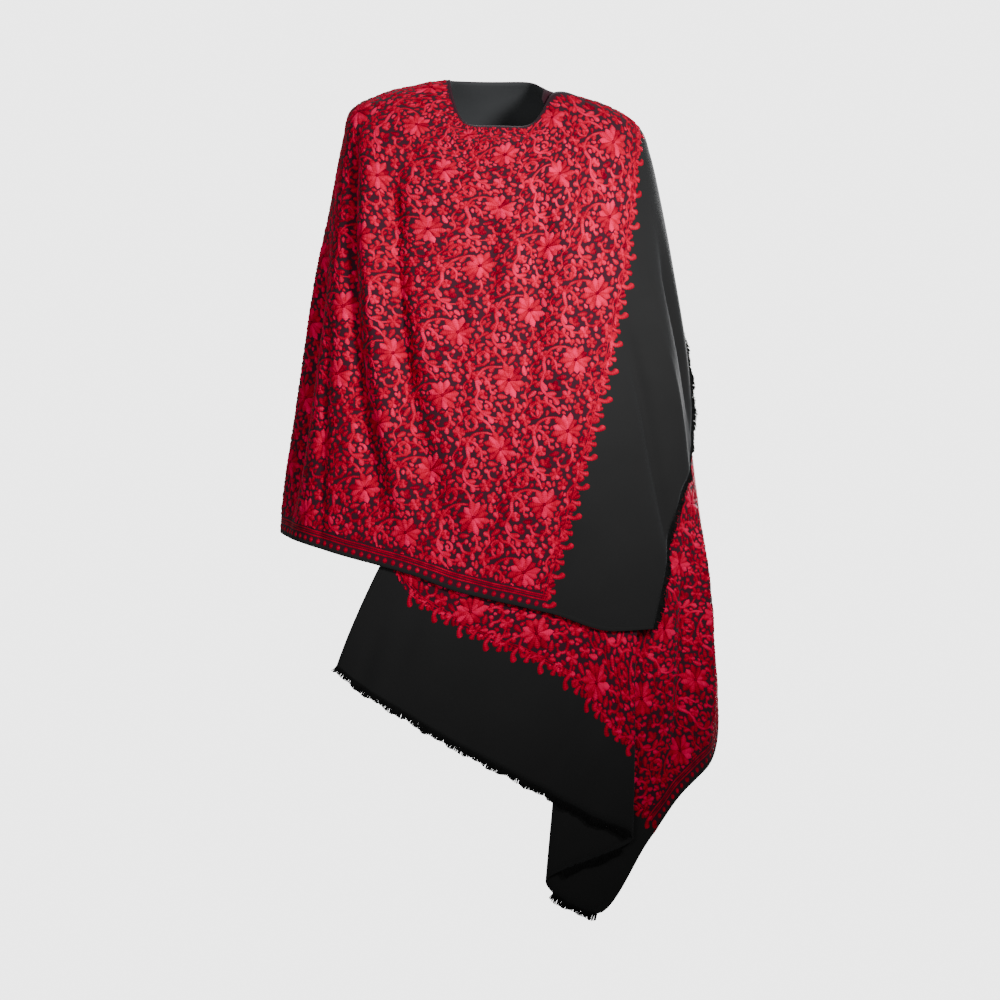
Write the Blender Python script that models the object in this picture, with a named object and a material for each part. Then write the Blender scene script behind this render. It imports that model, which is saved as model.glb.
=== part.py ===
"""Embroidered wool shawl, worn: one long rectangle of fine wool wrapped round a general figure.

The cloth starts with its fringed end at the right arm, crosses the chest over the lower end,
passes round the left arm and the back, comes over the right shoulder and hangs down in front,
where its outer edge is folded back in one deep pleat. Right and left are the viewer's.
Metres, +Z up, the front faces -Y. The origin is where the shoulders carry the cloth.
"""
from collections import namedtuple
import math

import bpy
import numpy as np

# ---------------------------------------------------------------- driving dimensions
CLOTH_WALL = 0.0018         # thickness of the wool with its embroidery
SEAM_GAP = 0.0003           # clear gap where one stretch of the cloth meets the next
LAP_GAP = 0.0055            # how far the top layer lies outside the layer beneath it
PLEAT_STEP = 0.0065         # distance from one layer of the pleat to the next
PLEAT_LEVELS = (5.8, 7.9)   # ring levels between which the pleat opens out
SECTION_FULLNESS = 0.15     # how much fuller than an ellipse the body section is
ROWS = 28                   # points up each stretch, hem to top edge
BODY_ROWS = 21              # of these, how many lie level round the body on the back and hanging end
BODY_LEVEL = 9.6            # ring level of the lowest of them
FRONT_COLUMNS = 39          # points along the front stretch
BACK_COLUMNS = 23           # points along the back stretch

FRINGE_LENGTH = 0.017       # combed ends of the warp beyond the woven edge
FRINGE_BACKING = 0.0030     # narrow woven strip that the strands grow from
STRAND_WIDTH = 0.0017       # a lock of a few warp ends
FRINGE_SEED = 7

BLACK_WOOL = (0.012, 0.012, 0.013)
CRIMSON_WORK = (0.42, 0.012, 0.028)
REAR_CRIMSON = (0.30, 0.010, 0.022)
FRINGE_GREY = (0.020, 0.020, 0.021)
WOOL_ROUGHNESS = 0.9

# ---------------------------------------------------------------- general figure under the cloth
# One row for each ring, from the neck opening down: half width to the left and right, depth to the
# front and back, the ring's height at its front, left, back and right, and how late it rises to its
# sides, which makes the neckline's corners.
Ring = namedtuple("Ring", "name left right front back z_front z_left z_back z_right corner")
RINGS = (
    Ring("neck", .0645, .0665, .070, .062, -.0315, .0420, .0450, .0290, 5.0),
    Ring("collar", .1050, .1080, .098, .088, -.0750, .0345, .0160, .0150, 3.2),
    Ring("shoulder", .1600, .1550, .118, .108, -.1250, .0210, -.0220, -.0010, 2.3),
    Ring("shoulder_point", .2020, .1955, .130, .120, -.1750, -.0010, -.0640, -.0280, 2.0),
    Ring("arm_cap", .2130, .2105, .138, .128, -.2200, -.0420, -.1120, -.0660, 2.0),
    Ring("upper_arm", .2255, .2245, .145, .134, -.2700, -.1050, -.1720, -.1280, 2.0),
    Ring("chest", .2405, .2415, .151, .140, -.3300, -.2000, -.2560, -.2180, 2.0),
    Ring("elbow", .2600, .2620, .156, .144, -.4100, -.3350, -.3680, -.3450, 2.0),
    Ring("waist", .2795, .2730, .160, .147, -.5000, -.4700, -.4830, -.4750, 2.0),
    Ring("wrist", .2995, .2880, .163, .149, -.6050, -.6000, -.6020, -.6010, 2.0),
    Ring("hip", .3040, .3020, .164, .150, -.7200, -.7200, -.7200, -.7200, 2.0),
    Ring("thigh", .3050, .3105, .163, .150, -.8500, -.8500, -.8500, -.8500, 2.0),
    Ring("knee", .3030, .3080, .160, .150, -.9900, -.9900, -.9900, -.9900, 2.0),
    Ring("calf", .3000, .3000, .155, .150, -1.1500, -1.1500, -1.1500, -1.1500, 2.0),
)

# ---------------------------------------------------------------- front stretch
# One row for each section up the cloth, from the fringed edge to the left side. along: distance from
# the fringed edge. Levels count rings. The angles, in degrees from the front towards the right, are
# where the section crosses seven stations between the cloth's top edge and its hem.
FRONT_STATIONS = (0.0, 0.2, 0.4, 0.6, 0.75, 0.9, 1.0)
Section = namedtuple("Section", "name along top_level hem_level top high chest waist low skirt hem")
FRONT_SECTIONS = (
    Section("fringed_edge", 0.000, 4.00, 10.02, 130, 115, 101, 85, 56, 44.5, 39.0),
    Section("plain_band", 0.060, 3.40, 10.04, 121, 97, 80, 61, 41, 32.5, 27.5),
    Section("scallops", 0.150, 2.50, 9.84, 104, 66, 50, 33.5, 25, 17.5, 12.5),
    Section("first_flowers", 0.195, 1.70, 9.77, 93, 46, 34, 22.8, 16.5, 9.8, 6.5),
    Section("neck_right", 0.280, 0.30, 9.58, 76, 26, 11.5, 4.8, -1.2, -5.5, -9.0),
    Section("neck_front", 0.345, 0.00, 9.38, 0, -4.5, -7.5, -10.5, -14, -17.5, -20.0),
    Section("neck_left", 0.430, 0.00, 9.20, -48, -29, -27, -28.5, -30, -33.5, -36.0),
    Section("upper_arm", 0.530, 0.00, 9.03, -73, -58, -53, -52, -53, -56, -58.0),
    Section("left_side", 0.640, 0.00, 8.91, -90, -90, -90, -90, -90, -90, -90.0),
)

# ---------------------------------------------------------------- back stretch
# Where the hem of the back runs, from the left side to the back of the right arm.
BackHem = namedtuple("BackHem", "angle level")
BACK_HEM = (
    BackHem(-90, 8.91),
    BackHem(-130, 9.08),
    BackHem(-180, 9.50),
    BackHem(-230, 10.27),
)

# ---------------------------------------------------------------- hanging end
# One row for each section down the cloth, from the back of the right arm to the inner long edge. The
# angles are those at eight stations between the neck ring and the bottom. The order of the sections
# turns back at the two folds of the pleat. stand: how many pleat steps the top layer stands out there.
HANGING_STATIONS = (0.0, 0.15, 0.3, 0.5, 0.65, 0.8, 0.9, 1.0)
Fall = namedtuple("Fall", "name bottom_level stand top a b c d e f bottom")
FALLS = (
    Fall("arm_back", 10.27, 2.0, 130, 130, 130, 130, 130, 130, 130, 130),
    Fall("arm_outside", 10.62, 2.0, 118, 118, 117, 116, 115, 113, 111.5, 110),
    Fall("arm_side", 11.00, 2.0, 108, 107, 105, 102, 99, 95, 92.5, 90),
    Fall("hem_turn", 11.33, 2.0, 100, 98, 95, 90, 86, 81, 78.5, 76),
    Fall("hem_rise", 11.72, 2.0, 94, 91, 87, 81, 76, 66, 58.5, 51.5),
    Fall("red_corner", 12.15, 2.0, 89, 85, 79, 72, 65, 53.5, 46, 38.5),
    Fall("outer_corner", 12.76, 2.0, 85, 79, 72, 64, 55, 38.5, 30, 24),
    Fall("inner_fold", 12.48, 2.0, 82, 74, 66, 56.5, 46, 20, 14, 11.2),
    Fall("outer_fold", 12.12, 2.0, 79, 67, 56.5, 49.5, 42, 35.5, 33, 32.8),
    Fall("step", 11.92, 1.9, 77, 62, 48, 38, 31.5, 26.5, 23.5, 22),
    Fall("crease", 11.70, 1.6, 75, 56, 38, 26, 19.5, 15, 12.8, 12),
    Fall("middle", 11.17, 1.0, 72, 42, 20, 8, 0, -6, -9, -10.5),
    Fall("inner_side", 10.87, 0.7, 71, 34, 10, -2, -9, -14.5, -18.7, -22.5),
    Fall("inner_corner", 10.62, 0.5, 70.5, 28, 6, -5.5, -12.5, -18.3, -26.6, -33.5),
    Fall("inner_edge", 10.42, 0.4, 70, 25, 4, -8, -14, -18.2, -29.0, -41),
)
INNER_FOLD = 7
OUTER_FOLD = 8
FOLD_TURN = 0.22            # share of an interval in which the cloth turns back at a fold
FOLD_ROLL = 0.3             # the same where the pleat only begins and the cloth rolls over softly
FULL_OVERLAP = 18.0         # degrees of overlap at which the folds of the pleat are fully turned
# How many steps each interval between two falls is cut into: short ones round the folds.
FALL_STEPS = (2, 2, 2, 3, 4, 4, 6, 8, 6, 4, 5, 4, 3, 2)

# ---------------------------------------------------------------- folds and creases
# A soft trough (negative depth) or ridge (positive) that runs from one end to the other.
Fold = namedtuple("Fold", "name angle_a z_a angle_b z_b width depth")
FOLDS = (
    Fold("front_left_arm", -66, -0.03, -28, -0.56, 3.4, -0.0085),
    Fold("front_left_chest", -43, -0.06, -11, -0.60, 3.0, -0.0080),
    Fold("front_left_ridge", -52, -0.09, -20, -0.60, 3.6, 0.0050),
    Fold("front_middle", 0, -0.12, -3, -0.34, 2.6, -0.0055),
    Fold("front_right_chest", 19, -0.10, 6, -0.46, 2.8, -0.0070),
    Fold("front_right_ridge", 30, -0.10, 14, -0.52, 3.4, 0.0045),
    Fold("front_band_fold", 40, -0.30, 51, -0.66, 3.2, -0.0080),
    Fold("front_band_ridge", 52, -0.22, 64, -0.55, 4.0, 0.0060),
    Fold("elbow_fold", 70, -0.19, 78, -0.44, 4.2, -0.0080),
    Fold("left_side_fold", -74, -0.20, -70, -0.58, 4.0, -0.0070),
    Fold("left_side_ridge", -84, -0.16, -84, -0.60, 4.5, 0.0045),
    Fold("right_lower_ridge", 76, -0.56, 66, -0.90, 4.5, 0.0060),
    Fold("right_lower_fold", 60, -0.62, 47, -0.94, 3.6, -0.0070),
    Fold("lower_crease", 27, -0.84, 11, -1.00, 2.2, 0.0055),
    Fold("lower_crease_shade", 24, -0.80, 6, -0.98, 2.0, -0.0050),
    Fold("lower_left_crease", -28, -0.72, -35, -0.83, 1.8, -0.0045),
    Fold("lower_left_second", -17, -0.70, -26, -0.81, 1.8, -0.0040),
    Fold("back_left", -118, -0.06, -126, -0.62, 4.6, -0.0138),
    Fold("back_left_ridge", -136, -0.10, -140, -0.64, 4.4, 0.0101),
    Fold("back_middle_left", -160, -0.07, -152, -0.60, 4.2, -0.0130),
    Fold("back_middle", -180, -0.16, -170, -0.70, 4.0, 0.0101),
    Fold("back_middle_right", -196, -0.06, -186, -0.70, 4.4, -0.0145),
    Fold("back_right_ridge", -214, -0.12, -203, -0.74, 4.2, 0.0116),
    Fold("back_right", -236, -0.20, -220, -0.78, 4.4, -0.0130),
    Fold("right_arm_back", -254, -0.30, -244, -0.80, 4.0, -0.0087),
)
FOLD_END = 0.10             # length over which a fold fades at each of its ends

# Shallow creases that follow the neckline at the chest of the front stretch.
Cowl = namedtuple("Cowl", "level angle spread width height")
COWLS = (
    Cowl(0.75, -4, 46, 0.26, 0.0035),
    Cowl(1.60, -12, 38, 0.30, 0.0040),
    Cowl(2.45, 8, 34, 0.34, 0.0030),
)


# ---------------------------------------------------------------- curves through the tables
def ring_value(name, level):
    """A ring column read at any level, on a smooth curve through the rings."""
    values = np.array([getattr(ring, name) for ring in RINGS])
    last = len(values) - 1
    level = np.clip(level, 0.0, last)
    low = np.clip(np.floor(level).astype(int), 0, last - 1)
    part = level - low
    padded = np.concatenate(([2 * values[0] - values[1]], values, [2 * values[-1] - values[-2]]))
    before, start, end, after = (padded[low + step] for step in range(4))
    slope = end - before
    bend = 2 * before - 5 * start + 4 * end - after
    twist = 3 * start - before - 3 * end + after
    return 0.5 * (2 * start + slope * part + bend * part ** 2 + twist * part ** 3)


def through(stations, values, at):
    """Smooth curve through values at stations that doesn't overshoot them; works on the last axis."""
    stations = np.asarray(stations, float)
    values = np.asarray(values, float)
    gaps = np.diff(stations)
    rise = np.diff(values, axis=-1) / gaps
    inner = rise[..., :-1] * rise[..., 1:]
    total = rise[..., :-1] + rise[..., 1:]
    safe = np.where(np.abs(total) > 1e-12, total, 1.0)
    middle = np.where(inner > 0, 2 * inner / safe, 0.0)
    slope = np.concatenate((rise[..., :1], middle, rise[..., -1:]), axis=-1)
    at = np.clip(at, stations[0], stations[-1])
    cell = np.clip(np.searchsorted(stations, at, side="right") - 1, 0, len(gaps) - 1)
    width = gaps[cell]
    t = (at - stations[cell]) / width
    return ((2 * t ** 3 - 3 * t ** 2 + 1) * values[..., cell]
            + (t ** 3 - 2 * t ** 2 + t) * width * slope[..., cell]
            + (3 * t ** 2 - 2 * t ** 3) * values[..., cell + 1]
            + (t ** 3 - t ** 2) * width * slope[..., cell + 1])


def ease(low, high, value):
    """0 below low, 1 above high, smooth between."""
    t = np.clip((value - low) / (high - low), 0.0, 1.0)
    return t * t * (3 - 2 * t)


# ---------------------------------------------------------------- the form that carries the cloth
def figure(angle, level):
    """Point on the general figure: angle in radians from the front, level down the rings."""
    side, ahead = np.sin(angle), np.cos(angle)
    across = np.where(side > 0, ring_value("right", level), ring_value("left", level))
    deep = np.where(ahead > 0, ring_value("front", level), ring_value("back", level))
    x = side * (1 + SECTION_FULLNESS * ahead ** 2) * across
    y = -ahead * (1 + SECTION_FULLNESS * side ** 2) * deep
    z_long = np.where(ahead > 0, ring_value("z_front", level), ring_value("z_back", level))
    z_cross = np.where(side > 0, ring_value("z_right", level), ring_value("z_left", level))
    rise = np.abs(side) ** ring_value("corner", level)
    return np.stack((x, y, z_long + (z_cross - z_long) * rise), axis=-1)


def outward(angle, level):
    """Unit normal of the figure, pointing away from the wearer."""
    step = 1e-3
    around = figure(angle + step, level) - figure(angle - step, level)
    down = figure(angle, level + step) - figure(angle, level - step)
    normal = np.cross(down, around)
    return normal / np.linalg.norm(normal, axis=-1, keepdims=True)


def fold_height(angle, z):
    """How far the folds move the cloth in or out at an angle and a height."""
    degrees = np.degrees(angle)
    total = np.zeros_like(z)
    for fold in FOLDS:
        span = fold.z_a - fold.z_b
        part = (fold.z_a - z) / span
        middle = fold.angle_a + (fold.angle_b - fold.angle_a) * part
        away = (degrees - middle + 180.0) % 360.0 - 180.0
        fade = FOLD_END / span
        ends = ease(-0.5 * fade, fade, part) * (1 - ease(1 - fade, 1 + 0.5 * fade, part))
        total = total + fold.depth * np.exp(-0.5 * (away / fold.width) ** 2) * ends
    return total


def lay(angle, level, lift):
    """Points of a layer of cloth that lies a distance outside the figure, folds included."""
    base = figure(angle, level)
    height = lift + fold_height(angle, base[..., 2])
    return base + outward(angle, level) * height[..., None]


def even_levels(fine, level):
    """The levels at which each section has to be cut for rows that lie evenly up the cloth."""
    share = np.linspace(0.0, 1.0, ROWS)
    steps = np.linalg.norm(np.diff(fine, axis=0), axis=2)
    run = np.concatenate((np.zeros((1, fine.shape[1])), np.cumsum(steps, axis=0)))
    return np.stack([np.interp(share * run[-1, column], run[:, column], level[:, column])
                     for column in range(fine.shape[1])], axis=1)


def body_levels(bottom):
    """Levels of rows that lie level round the body, and below it spread out to each section's end."""
    level = np.linspace(0.0, BODY_LEVEL, FINE)[:, None]
    seam_line = lay(math.radians(FALLS[0].top) + 0 * level, level, 0 * level)
    steps = np.linalg.norm(np.diff(seam_line[:, 0], axis=0), axis=1)
    run = np.concatenate(([0.0], np.cumsum(steps)))
    upper = np.interp(np.linspace(0.0, run[-1], BODY_ROWS), run, level[:, 0])
    share = np.linspace(0.0, 1.0, ROWS - BODY_ROWS + 1)[1:, None]
    lower = BODY_LEVEL + (np.asarray(bottom) - BODY_LEVEL) * share
    return np.concatenate((np.repeat(upper[:, None], lower.shape[1], axis=1), lower))


def cut_rows(fine, level, wanted):
    """Points of each section at the wanted levels."""
    result = np.empty((*wanted.shape, 3))
    for column in range(wanted.shape[1]):
        for axis in range(3):
            result[:, column, axis] = np.interp(wanted[:, column], level[:, column], fine[:, column, axis])
    return result


# ---------------------------------------------------------------- the stretches of the cloth
FINE = 161


def pleat_opening(level):
    return ease(PLEAT_LEVELS[0], PLEAT_LEVELS[1], level)


def front_points():
    """Front stretch: rows run from the top edge to the hem, columns from the fringe to the side."""
    along = [section.along for section in FRONT_SECTIONS]
    at = np.linspace(along[0], along[-1], FRONT_COLUMNS)
    angles = np.array([section[4:] for section in FRONT_SECTIONS], float).T
    share = np.linspace(0.0, 1.0, FINE)
    crossing = through(FRONT_STATIONS, through(along, angles, at).T, share).T
    top = through(along, [section.top_level for section in FRONT_SECTIONS], at)
    hem = through(along, [section.hem_level for section in FRONT_SECTIONS], at)
    level = top + (hem - top) * share[:, None]
    over_pleat = 2 * PLEAT_STEP * pleat_opening(level) * ease(-45, 30, crossing)
    over_pleat = over_pleat * (1 - ease(40, 72, crossing))
    lift = ease(-88, -50, crossing) * LAP_GAP + over_pleat
    for cowl in COWLS:
        across = np.exp(-0.5 * ((crossing - cowl.angle) / cowl.spread) ** 2)
        lift = lift + cowl.height * across * np.exp(-0.5 * ((level - cowl.level) / cowl.width) ** 2)
    fine = lay(np.radians(crossing), level, lift)
    return cut_rows(fine, level, even_levels(fine, level))


def back_points():
    """Back stretch: columns run from the left side round the back to the right arm."""
    angles = [mark.angle for mark in BACK_HEM]
    at = np.linspace(angles[0], angles[-1], BACK_COLUMNS)
    hem = through([-angle for angle in angles], [mark.level for mark in BACK_HEM], -at)
    share = np.linspace(0.0, 1.0, FINE)[:, None]
    level = hem * share
    fine = lay(np.radians(at) + 0 * level, level, 0 * level)
    to_the_right = np.linspace(0.0, 1.0, BACK_COLUMNS)
    wanted = even_levels(fine, level) * (1 - to_the_right) + body_levels(hem) * to_the_right
    return cut_rows(fine, level, wanted)


def hanging_points():
    """Hanging end: columns run from the back of the right arm through the pleat to the inner edge."""
    order = np.arange(len(FALLS), dtype=float)
    marks = [np.linspace(low, low + 1, steps, endpoint=False) for low, steps in enumerate(FALL_STEPS)]
    at = np.concatenate(marks + [order[-1:]])
    angles = np.array([fall[3:] for fall in FALLS], float).T
    share = np.linspace(0.0, 1.0, FINE)
    crossing = through(HANGING_STATIONS, through(order, angles, at).T, share).T
    bottom = through(order, [fall.bottom_level for fall in FALLS], at)
    level = bottom * share[:, None]
    fold_in, fold_out = np.searchsorted(at, (INNER_FOLD, OUTER_FOLD))
    overlap = crossing[:, fold_out] - crossing[:, fold_in]
    turned = ease(0.0, FULL_OVERLAP, overlap)[:, None]
    rolling = 2 * ease(INNER_FOLD - FOLD_ROLL, OUTER_FOLD + FOLD_ROLL, at)
    flat = (ease(INNER_FOLD - FOLD_TURN, INNER_FOLD + FOLD_TURN, at)
            + ease(OUTER_FOLD - FOLD_TURN, OUTER_FOLD + FOLD_TURN, at))
    layer = rolling * (1 - turned) + flat * turned
    stand = 0.5 * through(order, [fall.stand for fall in FALLS], at)
    lift = PLEAT_STEP * layer * stand * pleat_opening(level)
    return cut_rows(lay(np.radians(crossing), level, lift), level, body_levels(bottom))


# ---------------------------------------------------------------- solids
def material(name, colour):
    made = bpy.data.materials.new(name)
    made.use_nodes = True
    shader = made.node_tree.nodes["Principled BSDF"]
    shader.inputs["Base Color"].default_value = (*colour, 1.0)
    shader.inputs["Roughness"].default_value = WOOL_ROUGHNESS
    shader.inputs["Metallic"].default_value = 0.0
    return made


def add_object(name, vertices, faces, colour):
    mesh = bpy.data.meshes.new(name)
    mesh.from_pydata([tuple(vertex) for vertex in vertices], [], faces)
    mesh.materials.append(material(name + "_wool", colour))
    mesh.shade_smooth()
    mesh.set_sharp_from_angle(angle=math.radians(50))
    made = bpy.data.objects.new(name, mesh)
    bpy.context.scene.collection.objects.link(made)
    return made


Cloth = namedtuple("Cloth", "points normals")


def sheet_normals(points):
    """Unit normals of a grid of points."""
    down = np.gradient(points, axis=0)
    along = np.gradient(points, axis=1)
    normal = np.cross(down, along)
    return normal / np.linalg.norm(normal, axis=-1, keepdims=True)


def seam(first, first_column, second, second_column):
    """Let two stretches share their normals where they meet, and part them by the seam gap."""
    shared = first.normals[:, first_column] + second.normals[:, second_column]
    shared /= np.linalg.norm(shared, axis=-1, keepdims=True)
    for cloth, column in ((first, first_column), (second, second_column)):
        inner = 1 if column == 0 else -2
        step = cloth.points[:, inner] - cloth.points[:, column]
        step -= shared * np.sum(step * shared, axis=-1, keepdims=True)
        step /= np.linalg.norm(step, axis=-1, keepdims=True)
        cloth.points[:, column] += 0.5 * SEAM_GAP * step
        cloth.normals[:, column] = shared


def wall(name, cloth, colour):
    """Closed wall of the cloth's thickness about a grid of points at its middle."""
    points = cloth.points
    rows, columns = points.shape[:2]
    normal = cloth.normals * 0.5 * CLOTH_WALL
    vertices = np.concatenate(((points + normal).reshape(-1, 3), (points - normal).reshape(-1, 3)))
    inner = rows * columns
    faces = []
    for row in range(rows - 1):
        for column in range(columns - 1):
            a = row * columns + column
            b, c, d = a + columns, a + columns + 1, a + 1
            falling = np.linalg.norm(points[row + 1, column + 1] - points[row, column])
            rising = np.linalg.norm(points[row + 1, column] - points[row, column + 1])
            halves = ((a, b, c), (a, c, d)) if falling < rising else ((a, b, d), (b, c, d))
            for half in halves:
                faces.append(half)
                faces.append(tuple(inner + corner for corner in reversed(half)))
    rim = [column for column in range(columns)]
    rim += [row * columns + columns - 1 for row in range(1, rows)]
    rim += [(rows - 1) * columns + column for column in range(columns - 2, -1, -1)]
    rim += [row * columns for row in range(rows - 2, 0, -1)]
    for start, end in zip(rim, rim[1:] + rim[:1]):
        faces.append((start, end, inner + end, inner + start))
    return add_object(name, vertices, faces, colour)


def edge_frames(edge, inside, count):
    """Evenly spaced points along an edge, with the way out of the cloth and the cloth's normal."""
    steps = np.linalg.norm(np.diff(edge, axis=0), axis=1)
    run = np.concatenate(([0.0], np.cumsum(steps)))
    at = np.linspace(0.0, run[-1], count)
    place = np.stack([np.interp(at, run, edge[:, axis]) for axis in range(3)], axis=-1)
    within = np.stack([np.interp(at, run, inside[:, axis]) for axis in range(3)], axis=-1)
    tangent = np.gradient(place, axis=0)
    tangent /= np.linalg.norm(tangent, axis=-1, keepdims=True)
    out = place - within
    out -= tangent * np.sum(out * tangent, axis=-1, keepdims=True)
    out /= np.linalg.norm(out, axis=-1, keepdims=True)
    return place, tangent, out, np.cross(tangent, out)


def fringe(name, edge, inside, strands):
    """Narrow backing along an edge, with a tapered four-sided strand on every second face."""
    rng = np.random.default_rng(FRINGE_SEED + strands)
    place, tangent, out, normal = edge_frames(edge, inside, 2 * strands + 2)
    half = 0.5 * 0.8 * CLOTH_WALL
    near = place + out * SEAM_GAP
    far = place + out * (SEAM_GAP + FRINGE_BACKING)
    vertices = []
    for section in range(len(place)):
        for point in (near[section], far[section]):
            vertices.append(point + normal[section] * half)
            vertices.append(point - normal[section] * half)
    faces = [(0, 1, 3, 2)]
    last = 4 * (len(place) - 1)
    faces.append((last, last + 2, last + 3, last + 1))
    for section in range(len(place) - 1):
        this, following = 4 * section, 4 * section + 4
        faces.append((this, this + 2, following + 2, following))
        faces.append((this + 1, following + 1, following + 3, this + 3))
        faces.append((this, following, following + 1, this + 1))
        root = (this + 2, this + 3, following + 3, following + 2)
        if section % 2 == 0:
            faces.append(root)
            continue
        length = FRINGE_LENGTH * rng.uniform(0.72, 1.0) - FRINGE_BACKING
        lean = tangent[section] * rng.uniform(-0.22, 0.22)
        droop = np.array((0.0, 0.0, -rng.uniform(0.05, 0.35)))
        direction = out[section] + lean + droop * (1 - abs(out[section][2]))
        tip = np.mean([vertices[corner] for corner in root], axis=0) + direction * length
        across = tangent[section] * 0.22 * STRAND_WIDTH
        thick = normal[section] * 0.35 * half
        first = len(vertices)
        vertices += [tip - across + thick, tip - across - thick, tip + across - thick, tip + across + thick]
        ring = (first, first + 1, first + 2, first + 3)
        for side in range(4):
            after = (side + 1) % 4
            faces.append((root[side], root[after], ring[after], ring[side]))
        faces.append(ring)
    return add_object(name, vertices, faces, FRINGE_GREY)


def face_outward(thing):
    """Turn a closed body round if its faces point in."""
    mesh = thing.data
    volume = 0.0
    mesh.calc_loop_triangles()
    for triangle in mesh.loop_triangles:
        a, b, c = (mesh.vertices[corner].co for corner in triangle.vertices)
        volume += a.dot(b.cross(c)) / 6.0
    if volume < 0:
        mesh.flip_normals()


def build():
    for thing in list(bpy.data.objects):
        bpy.data.objects.remove(thing, do_unlink=True)

    front, back, hanging = (Cloth(points, sheet_normals(points))
                            for points in (front_points(), back_points(), hanging_points()))
    seam(front, -1, back, 0)
    seam(back, -1, hanging, 0)

    first_of = np.concatenate(([0], np.cumsum(FALL_STEPS)))
    fold_in, fold_out = first_of[INNER_FOLD], first_of[OUTER_FOLD]
    corner = first_of[INNER_FOLD - 1]
    ends = hanging.points[:-3:-1]

    made = [
        wall("front_stretch", front, CRIMSON_WORK),
        wall("back_stretch", back, REAR_CRIMSON),
        wall("hanging_end", hanging, BLACK_WOOL),
        fringe("fringe_front", front.points[:, 0], front.points[:, 1], 88),
        fringe("fringe_hanging_front", ends[0, fold_out + 2:], ends[1, fold_out + 2:], 56),
        fringe("fringe_hanging_middle", ends[0, fold_in + 2:fold_out - 1], ends[1, fold_in + 2:fold_out - 1], 11),
        fringe("fringe_hanging_rear", ends[0, corner:fold_in - 1], ends[1, corner:fold_in - 1], 8),
    ]
    for thing in made:
        face_outward(thing)
    bpy.context.view_layer.update()


build()
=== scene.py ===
from collections import namedtuple
import math

import bmesh
import bpy
import numpy as np
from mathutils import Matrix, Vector
from mathutils.bvhtree import BVHTree


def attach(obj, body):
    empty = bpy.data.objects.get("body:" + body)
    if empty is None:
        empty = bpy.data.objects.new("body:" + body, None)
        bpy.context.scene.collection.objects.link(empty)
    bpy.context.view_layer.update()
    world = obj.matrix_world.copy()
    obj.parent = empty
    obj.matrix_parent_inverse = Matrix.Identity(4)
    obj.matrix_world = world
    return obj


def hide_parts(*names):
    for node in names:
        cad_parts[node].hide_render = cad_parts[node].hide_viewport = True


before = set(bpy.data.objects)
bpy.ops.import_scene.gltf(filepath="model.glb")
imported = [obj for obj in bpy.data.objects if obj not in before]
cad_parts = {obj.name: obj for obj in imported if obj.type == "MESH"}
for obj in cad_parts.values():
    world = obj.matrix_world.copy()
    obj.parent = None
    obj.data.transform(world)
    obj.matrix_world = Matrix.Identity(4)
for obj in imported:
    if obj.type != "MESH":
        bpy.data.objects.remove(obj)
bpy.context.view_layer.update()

bl_info = {
    "name": "Embroidered Wool Shawl",
    "version": (1, 0, 0),
    "blender": (4, 5, 0),
    "location": "View3D > Sidebar > Shawl",
    "description": "Builds a wrapped wool shawl with chain-stitch embroidery and a frayed fringe",
    "category": "Add Mesh",
}

BODY = "root"
MM = 0.001


# ---------------------------------------------------------------- the flat cloth, as it was cut
# u runs along the length from the fringe at the right arm, v across the width from the hem.
WIDTH = 0.71
LENGTH = 2.03
FRONT_LENGTH = 0.640        # where the front stretch ends, at the left side
BACK_LENGTH = 0.550         # from there to the back of the right arm
PLAIN_END = 0.147           # plain black wool between a fringe and the scalloped edge
SCALLOP_LINE = 0.150        # the line of the front stretch that the scalloped edge follows

# ---------------------------------------------------------------- drape, on the solids' form
# The creases, the fuller folds, the folds named fine_ and the height of the cowls are the scene's own.
FINE_STEPS = 321            # points down each section before it is cut into rows
SECTION_FULLNESS = 0.15
LAP_GAP = 0.0055
PLEAT_STEP = 0.0065
PLEAT_LEVELS = (5.8, 7.9)
BODY_LEVEL = 9.6
FOLD_TURN = 0.22
FOLD_ROLL = 0.3
FULL_OVERLAP = 18.0
FOLD_END = 0.10
CREASE_SHARE = 0.42         # the sharp crease in the middle of each wide fold, which the solids lack
CREASE_WIDTH = 0.5          # as a share of the fold's own width
FOLD_FULLNESS = 1.25        # the thin cloth falls a quarter deeper into the folds than the solids do
FINE_FOLD = 2.5             # a fold no wider than this, in degrees, is a crease itself
BODY_SHARE = 0.74           # share of the rows that lie level round the body on the hanging end

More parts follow.
